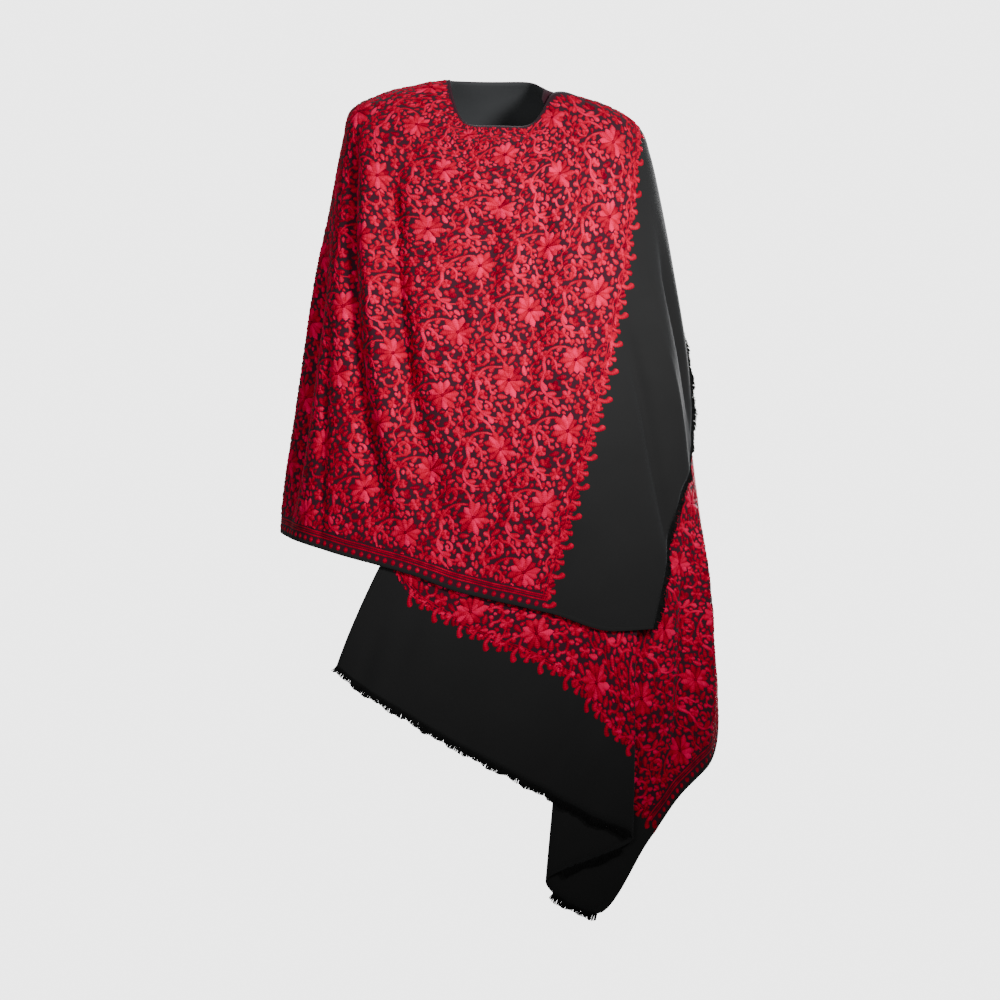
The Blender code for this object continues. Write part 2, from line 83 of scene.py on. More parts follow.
Ring = namedtuple("Ring", "name left right front back z_front z_left z_back z_right corner")
RINGS = (
    Ring("neck", .0645, .0665, .070, .062, -.0315, .0420, .0450, .0290, 5.0),
    Ring("collar", .1050, .1080, .098, .088, -.0750, .0345, .0160, .0150, 3.2),
    Ring("shoulder", .1600, .1550, .118, .108, -.1250, .0210, -.0220, -.0010, 2.3),
    Ring("shoulder_point", .2020, .1955, .130, .120, -.1750, -.0010, -.0640, -.0280, 2.0),
    Ring("arm_cap", .2130, .2105, .138, .128, -.2200, -.0420, -.1120, -.0660, 2.0),
    Ring("upper_arm", .2255, .2245, .145, .134, -.2700, -.1050, -.1720, -.1280, 2.0),
    Ring("chest", .2405, .2415, .151, .140, -.3300, -.2000, -.2560, -.2180, 2.0),
    Ring("elbow", .2600, .2620, .156, .144, -.4100, -.3350, -.3680, -.3450, 2.0),
    Ring("waist", .2795, .2730, .160, .147, -.5000, -.4700, -.4830, -.4750, 2.0),
    Ring("wrist", .2995, .2880, .163, .149, -.6050, -.6000, -.6020, -.6010, 2.0),
    Ring("hip", .3040, .3020, .164, .150, -.7200, -.7200, -.7200, -.7200, 2.0),
    Ring("thigh", .3050, .3105, .163, .150, -.8500, -.8500, -.8500, -.8500, 2.0),
    Ring("knee", .3030, .3080, .160, .150, -.9900, -.9900, -.9900, -.9900, 2.0),
    Ring("calf", .3000, .3000, .155, .150, -1.1500, -1.1500, -1.1500, -1.1500, 2.0),
)

FRONT_STATIONS = (0.0, 0.2, 0.4, 0.6, 0.75, 0.9, 1.0)
Section = namedtuple("Section", "name along top_level hem_level top high chest waist low skirt hem")
FRONT_SECTIONS = (
    Section("fringed_edge", 0.000, 4.00, 10.02, 130, 115, 101, 85, 56, 44.5, 39.0),
    Section("plain_band", 0.060, 3.40, 10.04, 121, 97, 80, 61, 41, 32.5, 27.5),
    Section("scallops", 0.150, 2.50, 9.84, 104, 66, 50, 33.5, 25, 17.5, 12.5),
    Section("first_flowers", 0.195, 1.70, 9.77, 93, 46, 34, 22.8, 16.5, 9.8, 6.5),
    Section("neck_right", 0.280, 0.30, 9.58, 76, 26, 11.5, 4.8, -1.2, -5.5, -9.0),
    Section("neck_front", 0.345, 0.00, 9.38, 0, -4.5, -7.5, -10.5, -14, -17.5, -20.0),
    Section("neck_left", 0.430, 0.00, 9.20, -48, -29, -27, -28.5, -30, -33.5, -36.0),
    Section("upper_arm", 0.530, 0.00, 9.03, -73, -58, -53, -52, -53, -56, -58.0),
    Section("left_side", 0.640, 0.00, 8.91, -90, -90, -90, -90, -90, -90, -90.0),
)

BackHem = namedtuple("BackHem", "angle level")
BACK_HEM = (
    BackHem(-90, 8.91),
    BackHem(-130, 9.08),
    BackHem(-180, 9.50),
    BackHem(-230, 10.27),
)

HANGING_STATIONS = (0.0, 0.15, 0.3, 0.5, 0.65, 0.8, 0.9, 1.0)
Fall = namedtuple("Fall", "name bottom_level stand top a b c d e f bottom")
FALLS = (
    Fall("arm_back", 10.27, 2.0, 130, 130, 130, 130, 130, 130, 130, 130),
    Fall("arm_outside", 10.62, 2.0, 118, 118, 117, 116, 115, 113, 111.5, 110),
    Fall("arm_side", 11.00, 2.0, 108, 107, 105, 102, 99, 95, 92.5, 90),
    Fall("hem_turn", 11.33, 2.0, 100, 98, 95, 90, 86, 81, 78.5, 76),
    Fall("hem_rise", 11.72, 2.0, 94, 91, 87, 81, 76, 66, 58.5, 51.5),
    Fall("red_corner", 12.15, 2.0, 89, 85, 79, 72, 65, 53.5, 46, 38.5),
    Fall("outer_corner", 12.76, 2.0, 85, 79, 72, 64, 55, 38.5, 30, 24),
    Fall("inner_fold", 12.48, 2.0, 82, 74, 66, 56.5, 46, 20, 14, 11.2),
    Fall("outer_fold", 12.12, 2.0, 79, 67, 56.5, 49.5, 42, 35.5, 33, 32.8),
    Fall("step", 11.92, 1.9, 77, 62, 48, 38, 31.5, 26.5, 23.5, 22),
    Fall("crease", 11.70, 1.6, 75, 56, 38, 26, 19.5, 15, 12.8, 12),
    Fall("middle", 11.17, 1.0, 72, 42, 20, 8, 0, -6, -9, -10.5),
    Fall("inner_side", 10.87, 0.7, 71, 34, 10, -2, -9, -14.5, -18.7, -22.5),
    Fall("inner_corner", 10.62, 0.5, 70.5, 28, 6, -5.5, -12.5, -18.3, -26.6, -33.5),
    Fall("inner_edge", 10.42, 0.4, 70, 25, 4, -8, -14, -18.2, -29.0, -41),
)
OUTER_CORNER = 6
INNER_FOLD = 7
OUTER_FOLD = 8
FALL_STEPS = (6, 6, 6, 8, 10, 10, 14, 16, 14, 10, 14, 14, 8, 6)

Fold = namedtuple("Fold", "name angle_a z_a angle_b z_b width depth")
FOLDS = (
    Fold("front_left_arm", -66, -0.03, -28, -0.56, 3.4, -0.0085),
    Fold("front_left_chest", -43, -0.06, -11, -0.60, 3.0, -0.0080),
    Fold("front_left_ridge", -52, -0.09, -20, -0.60, 3.6, 0.0050),
    Fold("front_middle", 0, -0.12, -3, -0.34, 2.6, -0.0055),
    Fold("front_right_chest", 19, -0.10, 6, -0.46, 2.8, -0.0070),
    Fold("front_right_ridge", 30, -0.10, 14, -0.52, 3.4, 0.0045),
    Fold("front_band_fold", 40, -0.30, 51, -0.66, 3.2, -0.0080),
    Fold("front_band_ridge", 52, -0.22, 64, -0.55, 4.0, 0.0060),
    Fold("elbow_fold", 70, -0.19, 78, -0.44, 4.2, -0.0080),
    Fold("left_side_fold", -74, -0.20, -70, -0.58, 4.0, -0.0070),
    Fold("left_side_ridge", -84, -0.16, -84, -0.60, 4.5, 0.0045),
    Fold("right_lower_ridge", 76, -0.56, 66, -0.90, 4.5, 0.0060),
    Fold("right_lower_fold", 60, -0.62, 47, -0.94, 3.6, -0.0070),
    Fold("lower_crease", 27, -0.84, 11, -1.00, 2.2, 0.0055),
    Fold("lower_crease_shade", 24, -0.80, 6, -0.98, 2.0, -0.0050),
    Fold("lower_left_crease", -28, -0.72, -35, -0.83, 1.8, -0.0045),
    Fold("lower_left_second", -17, -0.70, -26, -0.81, 1.8, -0.0040),
    Fold("fine_left_low", -60, -0.30, -47, -0.62, 1.9, -0.0050),
    Fold("fine_left_chest", -31, -0.24, -21, -0.52, 1.8, -0.0052),
    Fold("fine_left_high", -40, -0.07, -30, -0.22, 2.1, -0.0050),
    Fold("fine_middle", -11, -0.22, -9, -0.45, 1.8, -0.0046),
    Fold("fine_middle_low", 3, -0.42, -3, -0.68, 1.9, -0.0050),
    Fold("fine_right_high", 31, -0.10, 21, -0.35, 1.9, -0.0055),
    Fold("fine_right_low", 23, -0.40, 12, -0.68, 1.9, -0.0050),
    Fold("fine_band", 47, -0.13, 59, -0.38, 2.2, -0.0050),
    Fold("fine_back_left", -128, -0.20, -134, -0.60, 2.0, -0.0055),
    Fold("fine_back_middle", -170, -0.10, -162, -0.44, 1.9, -0.0050),
    Fold("fine_back_low", -178, -0.42, -180, -0.72, 2.0, 0.0050),
    Fold("fine_back_right", -207, -0.24, -196, -0.62, 2.0, -0.0055),
    Fold("back_left", -118, -0.06, -126, -0.62, 4.6, -0.0138),
    Fold("back_left_ridge", -136, -0.10, -140, -0.64, 4.4, 0.0101),
    Fold("back_middle_left", -160, -0.07, -152, -0.60, 4.2, -0.0130),
    Fold("back_middle", -180, -0.16, -170, -0.70, 4.0, 0.0101),
    Fold("back_middle_right", -196, -0.06, -186, -0.70, 4.4, -0.0145),
    Fold("back_right_ridge", -214, -0.12, -203, -0.74, 4.2, 0.0116),
    Fold("back_right", -236, -0.20, -220, -0.78, 4.4, -0.0130),
    Fold("right_arm_back", -254, -0.30, -244, -0.80, 4.0, -0.0087),
)

# Soft folds under the neck, narrower than in the solids and 2.1 to 2.5 times as high.
Cowl = namedtuple("Cowl", "level angle spread width height")
COWLS = (
    Cowl(0.75, -4, 46, 0.20, 0.0075),
    Cowl(1.60, -12, 38, 0.24, 0.0095),
    Cowl(2.45, 8, 34, 0.26, 0.0075),
)

# The front of the hanging end lies nearly flat to the viewer. Lengths run down its slant to the
# fringe, and across from its inner edge. The scalloped edge isn't quite parallel to the fringe.
SLANT = (-0.4885, -0.8726)  # the way to the fringe, to the viewer's right and up
FRINGE_RUN = 0.8186
INNER_EDGE_RUN = -0.179
ScallopMark = namedtuple("ScallopMark", "across run")
SCALLOP_MARKS = (
    ScallopMark(0.300, 0.6935),
    ScallopMark(0.322, 0.6881),
    ScallopMark(0.439, 0.6540),
    ScallopMark(0.566, 0.6650),
    ScallopMark(0.647, 0.6628),
    ScallopMark(0.710, 0.6400),
)


# ---------------------------------------------------------------- curves through the tables
def spline(padded, low, part):
    """Smooth curve through marks, read part of the way from mark low to the next."""
    before, start, end, after = (padded[low + step] for step in range(4))
    bend = 2 * before - 5 * start + 4 * end - after
    twist = 3 * start - before - 3 * end + after
    return 0.5 * (2 * start + (end - before) * part + bend * part ** 2 + twist * part ** 3)


def ring_value(name, level):
    """A ring column read at any level, on a smooth curve through the rings."""
    values = np.array([getattr(ring, name) for ring in RINGS])
    last = len(values) - 1
    level = np.clip(level, 0.0, last)
    low = np.clip(np.floor(level).astype(int), 0, last - 1)
    part = level - low
    padded = np.concatenate(([2 * values[0] - values[1]], values, [2 * values[-1] - values[-2]]))
    return spline(padded, low, part)


def through(stations, values, at):
    """Smooth curve through values at stations that doesn't overshoot them; works on the last axis."""
    stations = np.asarray(stations, float)
    values = np.asarray(values, float)
    gaps = np.diff(stations)
    rise = np.diff(values, axis=-1) / gaps
    inner = rise[..., :-1] * rise[..., 1:]
    total = rise[..., :-1] + rise[..., 1:]
    safe = np.where(np.abs(total) > 1e-12, total, 1.0)
    middle = np.where(inner > 0, 2 * inner / safe, 0.0)
    slope = np.concatenate((rise[..., :1], middle, rise[..., -1:]), axis=-1)
    at = np.clip(at, stations[0], stations[-1])
    cell = np.clip(np.searchsorted(stations, at, side="right") - 1, 0, len(gaps) - 1)
    width = gaps[cell]
    t = (at - stations[cell]) / width
    return ((2 * t ** 3 - 3 * t ** 2 + 1) * values[..., cell]
            + (t ** 3 - 2 * t ** 2 + t) * width * slope[..., cell]
            + (3 * t ** 2 - 2 * t ** 3) * values[..., cell + 1]
            + (t ** 3 - t ** 2) * width * slope[..., cell + 1])


def ease(low, high, value):
    """0 below low, 1 above high, smooth between."""
    t = np.clip((value - low) / (high - low), 0.0, 1.0)
    return t * t * (3 - 2 * t)


def unit(vectors):
    """Vectors made one long."""
    return vectors / np.maximum(np.linalg.norm(vectors, axis=-1, keepdims=True), 1e-12)


def run_along(points):
    """Distance along a line of points, from its start."""
    steps = np.linalg.norm(np.diff(points, axis=0), axis=-1)
    return np.concatenate((np.zeros((1, *steps.shape[1:])), np.cumsum(steps, axis=0)))


def read_line(line, run, at):
    """Points of a line, or values that go with them, at distances along it."""
    return np.stack([np.interp(at, run, line[:, axis]) for axis in range(line.shape[1])], axis=-1)


# ---------------------------------------------------------------- the form that carries the cloth
def figure(angle, level):
    """Point on the general figure: angle in radians from the front, level down the rings."""
    side, ahead = np.sin(angle), np.cos(angle)
    across = np.where(side > 0, ring_value("right", level), ring_value("left", level))
    deep = np.where(ahead > 0, ring_value("front", level), ring_value("back", level))
    x = side * (1 + SECTION_FULLNESS * ahead ** 2) * across
    y = -ahead * (1 + SECTION_FULLNESS * side ** 2) * deep
    z_long = np.where(ahead > 0, ring_value("z_front", level), ring_value("z_back", level))
    z_cross = np.where(side > 0, ring_value("z_right", level), ring_value("z_left", level))
    rise = np.abs(side) ** ring_value("corner", level)
    return np.stack((x, y, z_long + (z_cross - z_long) * rise), axis=-1)


def outward(angle, level):
    """Unit normal of the figure, pointing away from the wearer."""
    step = 1e-3
    around = figure(angle + step, level) - figure(angle - step, level)
    down = figure(angle, level + step) - figure(angle, level - step)
    return unit(np.cross(down, around))


def fold_height(angle, z):
    """How far the folds move the cloth in or out at an angle and a height."""
    degrees = np.degrees(angle)
    total = np.zeros_like(z)
    for fold in FOLDS:
        span = fold.z_a - fold.z_b
        part = (fold.z_a - z) / span
        middle = fold.angle_a + (fold.angle_b - fold.angle_a) * part
        away = ((degrees - middle + 180.0) % 360.0 - 180.0) / fold.width
        fade = FOLD_END / span
        ends = ease(-0.5 * fade, fade, part) * (1 - ease(1 - fade, 1 + 0.5 * fade, part))
        crest = np.exp(-0.5 * away ** 2)
        if fold.width > FINE_FOLD:
            crest = crest + CREASE_SHARE * np.exp(-0.5 * (away / CREASE_WIDTH) ** 2)
        total = total + FOLD_FULLNESS * fold.depth * crest * ends
    return total


def lay(angle, level, lift):
    """Points of a layer of cloth that lies a distance outside the figure, folds included."""
    base = figure(angle, level)
    height = lift + fold_height(angle, base[..., 2])
    return base + outward(angle, level) * height[..., None]


def pleat_opening(level):
    """How far the lower pleat has opened at a level, from 0 to 1."""
    return ease(PLEAT_LEVELS[0], PLEAT_LEVELS[1], level)


def even_levels(fine, level, rows):
    """The levels at which each section has to be cut for rows that lie evenly up the cloth."""
    share = np.linspace(0.0, 1.0, rows)
    run = run_along(fine)
    return np.stack([np.interp(share * run[-1, column], run[:, column], level[:, column])
                     for column in range(fine.shape[1])], axis=1)


def body_levels(bottom, rows):
    """Levels of rows that lie level round the body, and below it spread out to each section's end."""
    level = np.linspace(0.0, BODY_LEVEL, FINE_STEPS)[:, None]
    seam_line = lay(math.radians(FALLS[0].top) + 0 * level, level, 0 * level)
    run = run_along(seam_line[:, 0])
    body_rows = round(BODY_SHARE * rows)
    upper = np.interp(np.linspace(0.0, run[-1], body_rows), run, level[:, 0])
    share = np.linspace(0.0, 1.0, rows - body_rows + 1)[1:, None]
    lower = BODY_LEVEL + (np.asarray(bottom) - BODY_LEVEL) * share
    return np.concatenate((np.repeat(upper[:, None], lower.shape[1], axis=1), lower))


def cut_rows(fine, level, wanted):
    """Points of each section at the wanted levels."""
    result = np.empty((*wanted.shape, 3))
    for column in range(wanted.shape[1]):
        for axis in range(3):
            result[:, column, axis] = np.interp(wanted[:, column], level[:, column], fine[:, column, axis])
    return result


# ---------------------------------------------------------------- the stretches of the cloth
def front_points(rows, columns):
    """Grid of the front stretch, from the fringed edge at the right arm to the left side."""
    along = [section.along for section in FRONT_SECTIONS]
    at = np.linspace(along[0], along[-1], columns)
    angles = np.array([section[4:] for section in FRONT_SECTIONS], float).T
    share = np.linspace(0.0, 1.0, FINE_STEPS)
    crossing = through(FRONT_STATIONS, through(along, angles, at).T, share).T
    top = through(along, [section.top_level for section in FRONT_SECTIONS], at)
    hem = through(along, [section.hem_level for section in FRONT_SECTIONS], at)
    level = top + (hem - top) * share[:, None]
    over_pleat = 2 * PLEAT_STEP * pleat_opening(level) * ease(-45, 30, crossing)
    lift = ease(-88, -50, crossing) * LAP_GAP + over_pleat * (1 - ease(40, 72, crossing))
    for cowl in COWLS:
        across = np.exp(-0.5 * ((crossing - cowl.angle) / cowl.spread) ** 2)
        lift = lift + cowl.height * across * np.exp(-0.5 * ((level - cowl.level) / cowl.width) ** 2)
    fine = lay(np.radians(crossing), level, lift)
    return cut_rows(fine, level, even_levels(fine, level, rows))


def back_points(rows, columns):
    """Grid of the back stretch, from the left side round to the back of the right arm."""
    angles = [mark.angle for mark in BACK_HEM]
    at = np.linspace(angles[0], angles[-1], columns)
    hem = through([-angle for angle in angles], [mark.level for mark in BACK_HEM], -at)
    level = hem * np.linspace(0.0, 1.0, FINE_STEPS)[:, None]
    fine = lay(np.radians(at) + 0 * level, level, 0 * level)
    to_the_right = np.linspace(0.0, 1.0, columns)
    wanted = even_levels(fine, level, rows) * (1 - to_the_right) + body_levels(hem, rows) * to_the_right
    return cut_rows(fine, level, wanted)


def fall_marks():
    """Where the columns of the hanging end lie among its falls."""
    marks = [np.linspace(low, low + 1, steps, endpoint=False) for low, steps in enumerate(FALL_STEPS)]
    return np.concatenate(marks + [[len(FALLS) - 1.0]])


def hanging_points(rows):
    """Grid of the hanging end, from the back of the right arm to its inner edge, folds turned over."""
    order = np.arange(len(FALLS), dtype=float)
    at = fall_marks()
    angles = np.array([fall[3:] for fall in FALLS], float).T
    share = np.linspace(0.0, 1.0, FINE_STEPS)
    crossing = through(HANGING_STATIONS, through(order, angles, at).T, share).T
    bottom = through(order, [fall.bottom_level for fall in FALLS], at)
    level = bottom * share[:, None]
    fold_in, fold_out = np.searchsorted(at, (INNER_FOLD, OUTER_FOLD))
    overlap = crossing[:, fold_out] - crossing[:, fold_in]
    turned = ease(0.0, FULL_OVERLAP, overlap)[:, None]
    rolling = 2 * ease(INNER_FOLD - FOLD_ROLL, OUTER_FOLD + FOLD_ROLL, at)
    flat = (ease(INNER_FOLD - FOLD_TURN, INNER_FOLD + FOLD_TURN, at)
            + ease(OUTER_FOLD - FOLD_TURN, OUTER_FOLD + FOLD_TURN, at))
    layer = rolling * (1 - turned) + flat * turned
    stand = 0.5 * through(order, [fall.stand for fall in FALLS], at)
    lift = PLEAT_STEP * layer * stand * pleat_opening(level)
    return cut_rows(lay(np.radians(crossing), level, lift), level, body_levels(bottom, rows))


def surface_normals(points):
    """Unit normals of a grid of points, on the embroidered side."""
    return unit(np.cross(np.gradient(points, axis=1), np.gradient(points, axis=0)))


# ---------------------------------------------------------------- laying the cloth flat
EDGE_WEIGHTS = (0.05, 8.0)  # least and most that an edge counts, so that thin triangles do no harm
PIN_STIFFNESS = 1e4
COARSE_ROWS = 29            # the coarse grid on which the flat places are worked out
COARSE_FRONT = 30
COARSE_BACK = 18
COARSE_ARM = 14
COARSE_TURN = 5
REAR_ROUNDS = 40
WHOLE_ROUNDS = 30
FRONT_COLUMNS = 1.3         # columns for each row of faces
BACK_COLUMNS = 0.82


def grid_triangles(rows, columns):
    """Two triangles for each cell of a grid of points."""
    index = np.arange(rows * columns).reshape(rows, columns)
    a, b = index[:-1, :-1].ravel(), index[1:, :-1].ravel()
    c, d = index[1:, 1:].ravel(), index[:-1, 1:].ravel()
    return np.concatenate((np.stack((a, b, c), 1), np.stack((a, c, d), 1)))


def lay_flat(points, pinned_u, pinned_v, rounds, guess=None):
    """Flat places (u, v) of a grid of points with as little stretch as can be, pinned where not NaN."""
    rows, columns = points.shape[:2]
    triangles = grid_triangles(rows, columns)
    corners = points.reshape(-1, 3)[triangles]
    first, second = corners[:, 1] - corners[:, 0], corners[:, 2] - corners[:, 0]
    base = np.linalg.norm(first, axis=1)
    along = np.sum(first * second, axis=1) / base
    height = np.linalg.norm(np.cross(first, second), axis=1) / base
    local = np.zeros((len(triangles), 3, 2))
    local[:, 1, 0], local[:, 2, 0], local[:, 2, 1] = base, along, height
    count = rows * columns
    stiffness = np.zeros((count, count))
    edges = []
    for start in range(3):
        end, far = (start + 1) % 3, (start + 2) % 3
        to_start, to_end = local[:, start] - local[:, far], local[:, end] - local[:, far]
        crossed = to_start[:, 0] * to_end[:, 1] - to_start[:, 1] * to_end[:, 0]
        weight = np.clip(np.sum(to_start * to_end, axis=1) / np.abs(crossed), *EDGE_WEIGHTS)
        i, j = triangles[:, start], triangles[:, end]
        edges.append((i, j, weight, local[:, start] - local[:, end]))
        for row, column, sign in ((i, i, 1), (j, j, 1), (i, j, -1), (j, i, -1)):
            np.add.at(stiffness, (row, column), sign * weight)
    flat = np.zeros((count, 2))
    solvers = []
    for axis, pinned in enumerate((pinned_u.ravel(), pinned_v.ravel())):
        held = ~np.isnan(pinned)
        hold = np.where(held, PIN_STIFFNESS, 0.0)
        pull = hold * np.where(held, pinned, 0.0)
        solver = np.linalg.inv(stiffness + np.diag(hold + 1e-9))
        flat[:, axis] = solver @ pull if guess is None else guess[axis].ravel()
        solvers.append((solver, pull))
    for _ in range(rounds):
        spread = np.zeros((len(triangles), 2, 2))
        for i, j, weight, step in edges:
            spread += weight[:, None, None] * (flat[i] - flat[j])[:, :, None] * step[:, None, :]
        left, _, right = np.linalg.svd(spread)
        flip = np.linalg.det(left @ right)
        left[:, :, 1] *= flip[:, None]
        turn = left @ right
        load = np.zeros((count, 2))
        for i, j, weight, step in edges:
            wanted = weight[:, None] * np.einsum("tab,tb->ta", turn, step)
            np.add.at(load, i, wanted)
            np.add.at(load, j, -wanted)
        for axis, (solver, pull) in enumerate(solvers):
            flat[:, axis] = solver @ (load[:, axis] + pull)
    return flat[:, 0].reshape(rows, columns), flat[:, 1].reshape(rows, columns)


def refine(coarse, row_at, column_at, rows, columns):
    """A coarse grid of numbers read at every row and column of the fine grid."""
    by_row = np.stack([np.interp(np.arange(columns), column_at, line) for line in coarse])
    return np.stack([np.interp(np.arange(rows), row_at, by_row[:, column])
                     for column in range(columns)], axis=1)


Cloth = namedtuple("Cloth", "points normals u v front_end inner_fold outer_fold corner")


def wrapped_cloth(rows):
    """The whole cloth as one grid, rows from the neck edge to the hem, with its flat places."""
    front_columns, back_columns = round(FRONT_COLUMNS * rows), round(BACK_COLUMNS * rows)
    front = front_points(rows, front_columns)
    back = back_points(rows, back_columns)
    hanging = hanging_points(rows)
    points = np.concatenate((front, back[:, 1:], hanging[:, 1:]), axis=1)
    columns = points.shape[1]
    share = np.linspace(0.0, 1.0, rows)[:, None]
    u = np.zeros((rows, columns))
    v = np.repeat((1 - share) * WIDTH, columns, axis=1)
    u[:, :front_columns] = np.linspace(0.0, FRONT_LENGTH, front_columns)
    front_end = front_columns - 1
    back_end = front_end + back_columns - 1
    at = fall_marks()
    corner, inner, outer = (back_end + int(np.searchsorted(at, mark))
                            for mark in (OUTER_CORNER, INNER_FOLD, OUTER_FOLD))

    row_at = np.unique(np.linspace(0, rows - 1, COARSE_ROWS).round().astype(int))
    column_at = np.unique(np.concatenate((np.linspace(front_end, back_end, COARSE_BACK),
                                          np.linspace(back_end, corner, COARSE_ARM),
                                          np.linspace(corner, inner, COARSE_TURN))).round().astype(int))
    pinned_u = np.full((len(row_at), len(column_at)), np.nan)
    pinned_v = pinned_u.copy()
    pinned_u[:, 0] = FRONT_LENGTH
    pinned_v[:, 0] = (1 - row_at / (rows - 1)) * WIDTH
    pinned_v[0, :] = WIDTH
    pinned_v[-1, column_at <= corner] = 0.0
    pinned_u[-1, column_at >= corner] = LENGTH
    rear_u, rear_v = lay_flat(points[np.ix_(row_at, column_at)], pinned_u, pinned_v,
                             REAR_ROUNDS)
    scallops = round(SCALLOP_LINE / FRONT_LENGTH * front_end)
    even = np.linspace(0, front_end, COARSE_FRONT).round().astype(int)[:-1]
    front_at = np.unique(np.append(even, scallops))
    guess = [np.concatenate((flat[np.ix_(row_at, front_at)], rear), axis=1)
             for flat, rear in ((u, rear_u), (v, rear_v))]
    column_at = np.concatenate((front_at, column_at))
    pinned_u = np.full(guess[0].shape, np.nan)
    pinned_v = pinned_u.copy()
    pinned_u[:, 0] = 0.0
    pinned_u[:, column_at == scallops] = SCALLOP_LINE
    pinned_v[0, :] = WIDTH
    pinned_v[-1, column_at <= corner] = 0.0
    pinned_u[-1, column_at >= corner] = LENGTH
    flat_u, flat_v = lay_flat(points[np.ix_(row_at, column_at)], pinned_u, pinned_v,
                             WHOLE_ROUNDS, guess)
    u[:, :inner + 1] = refine(flat_u, row_at, column_at, rows, inner + 1)
    v[:, :inner + 1] = refine(flat_v, row_at, column_at, rows, inner + 1)

    x, z = points[:, outer:, 0], points[:, outer:, 2]
    run = SLANT[0] * x + SLANT[1] * z
    across = WIDTH - INNER_EDGE_RUN + SLANT[1] * x - SLANT[0] * z
    v[:, outer:] = np.minimum(across, WIDTH)
    scallop = through([mark.across for mark in SCALLOP_MARKS], [mark.run for mark in SCALLOP_MARKS],
                      v[:, outer:])
    u[:, outer:] = LENGTH - PLAIN_END * (FRINGE_RUN - run) / (FRINGE_RUN - scallop)
    u[-1, outer:] = LENGTH
    v[:, -1] = WIDTH
    between = np.linspace(0.0, 1.0, outer - inner + 1)
    for flat in (u, v):
        flat[:, inner:outer + 1] = flat[:, [inner]] + (flat[:, [outer]] - flat[:, [inner]]) * between
    return Cloth(points, surface_normals(points), u, v, front_end, inner, outer, corner)


# ---------------------------------------------------------------- charts: flat place to real place
Chart = namedtuple("Chart", "points normals u_low v_low")
CHART_STEP = 3.0 * MM
COVERED_MARGIN = 0.07       # how far the stitches go on under the layer that covers them
LAYER_START = 0.001         # a layer above is looked for from here off the cloth
LAYER_REACH = 0.08
BACK_LAP = 0.1              # cloth before the hanging end that is also tested for cover


def covered(point, normal, front_tree, front_u, front_v, triangles):
    """True where the front stretch hides a place, well inside its edges."""
    start = Vector(point) + Vector(normal) * LAYER_START
    hit = front_tree.ray_cast(start, Vector(normal), LAYER_REACH)
    if hit[0] is None:
        return False
    face = triangles[hit[2]]
    from_edge = min(front_u[face].mean(), front_v[face].mean(), WIDTH - front_v[face].mean())
    return from_edge > COVERED_MARGIN


def make_chart(cloth, low, high):
    """Raster over the flat cloth of the columns low to high, NaN where they don't reach or don't show."""
    part = slice(low, high + 1)
    points = cloth.points[:, part].reshape(-1, 3)
    normals = cloth.normals[:, part].reshape(-1, 3)
    u, v = cloth.u[:, part].ravel(), cloth.v[:, part].ravel()
    triangles = grid_triangles(cloth.points.shape[0], high + 1 - low)
    flat_tree = BVHTree.FromPolygons(np.stack((u, v, 0 * u), 1).tolist(), triangles.tolist())
    front = slice(0, cloth.front_end + 1)
    front_triangles = grid_triangles(cloth.points.shape[0], cloth.front_end + 1)
    front_tree = BVHTree.FromPolygons(cloth.points[:, front].reshape(-1, 3).tolist(),
                                      front_triangles.tolist())
    front_u, front_v = cloth.u[:, front].ravel(), cloth.v[:, front].ravel()
    u_at = np.arange(u.min() + 1e-4, u.max(), CHART_STEP)
    v_at = np.arange(v.min() + 1e-4, v.max(), CHART_STEP)
    place = np.full((len(u_at), len(v_at), 3), np.nan)
    facing = place.copy()
    down = Vector((0.0, 0.0, -1.0))
    for row, u_here in enumerate(u_at):
        for column, v_here in enumerate(v_at):
            face = flat_tree.ray_cast((u_here, v_here, 1.0), down)[2]
            if face is None:
                continue
            a, b, c = triangles[face]
            edge_b = (u[b] - u[a], v[b] - v[a])
            edge_c = (u[c] - u[a], v[c] - v[a])
            here = (u_here - u[a], v_here - v[a])
            whole = edge_b[0] * edge_c[1] - edge_b[1] * edge_c[0]
            to_b = (here[0] * edge_c[1] - here[1] * edge_c[0]) / whole
            to_c = (edge_b[0] * here[1] - edge_b[1] * here[0]) / whole
            point = points[a] * (1 - to_b - to_c) + points[b] * to_b + points[c] * to_c
            normal = normals[a] * (1 - to_b - to_c) + normals[b] * to_b + normals[c] * to_c
            beyond = u_here > FRONT_LENGTH + BACK_LENGTH - BACK_LAP
            if beyond and covered(point, normal, front_tree, front_u, front_v, front_triangles):
                continue
            place[row, column] = point
            facing[row, column] = normal
    return Chart(place, facing, u_at[0], v_at[0])


def find(chart, u, v):
    """Real places and normals of flat places, NaN where the chart has none."""
    row = np.clip((u - chart.u_low) / CHART_STEP, 0, chart.points.shape[0] - 1.001)
    column = np.clip((v - chart.v_low) / CHART_STEP, 0, chart.points.shape[1] - 1.001)
    r, c = row.astype(int), column.astype(int)
    fr, fc = (row - r)[..., None], (column - c)[..., None]
    result = []
    for grid in (chart.points, chart.normals):
        result.append(grid[r, c] * (1 - fr) * (1 - fc) + grid[r + 1, c] * fr * (1 - fc)
                      + grid[r, c + 1] * (1 - fr) * fc + grid[r + 1, c + 1] * fr * fc)
    return result[0], unit(result[1])


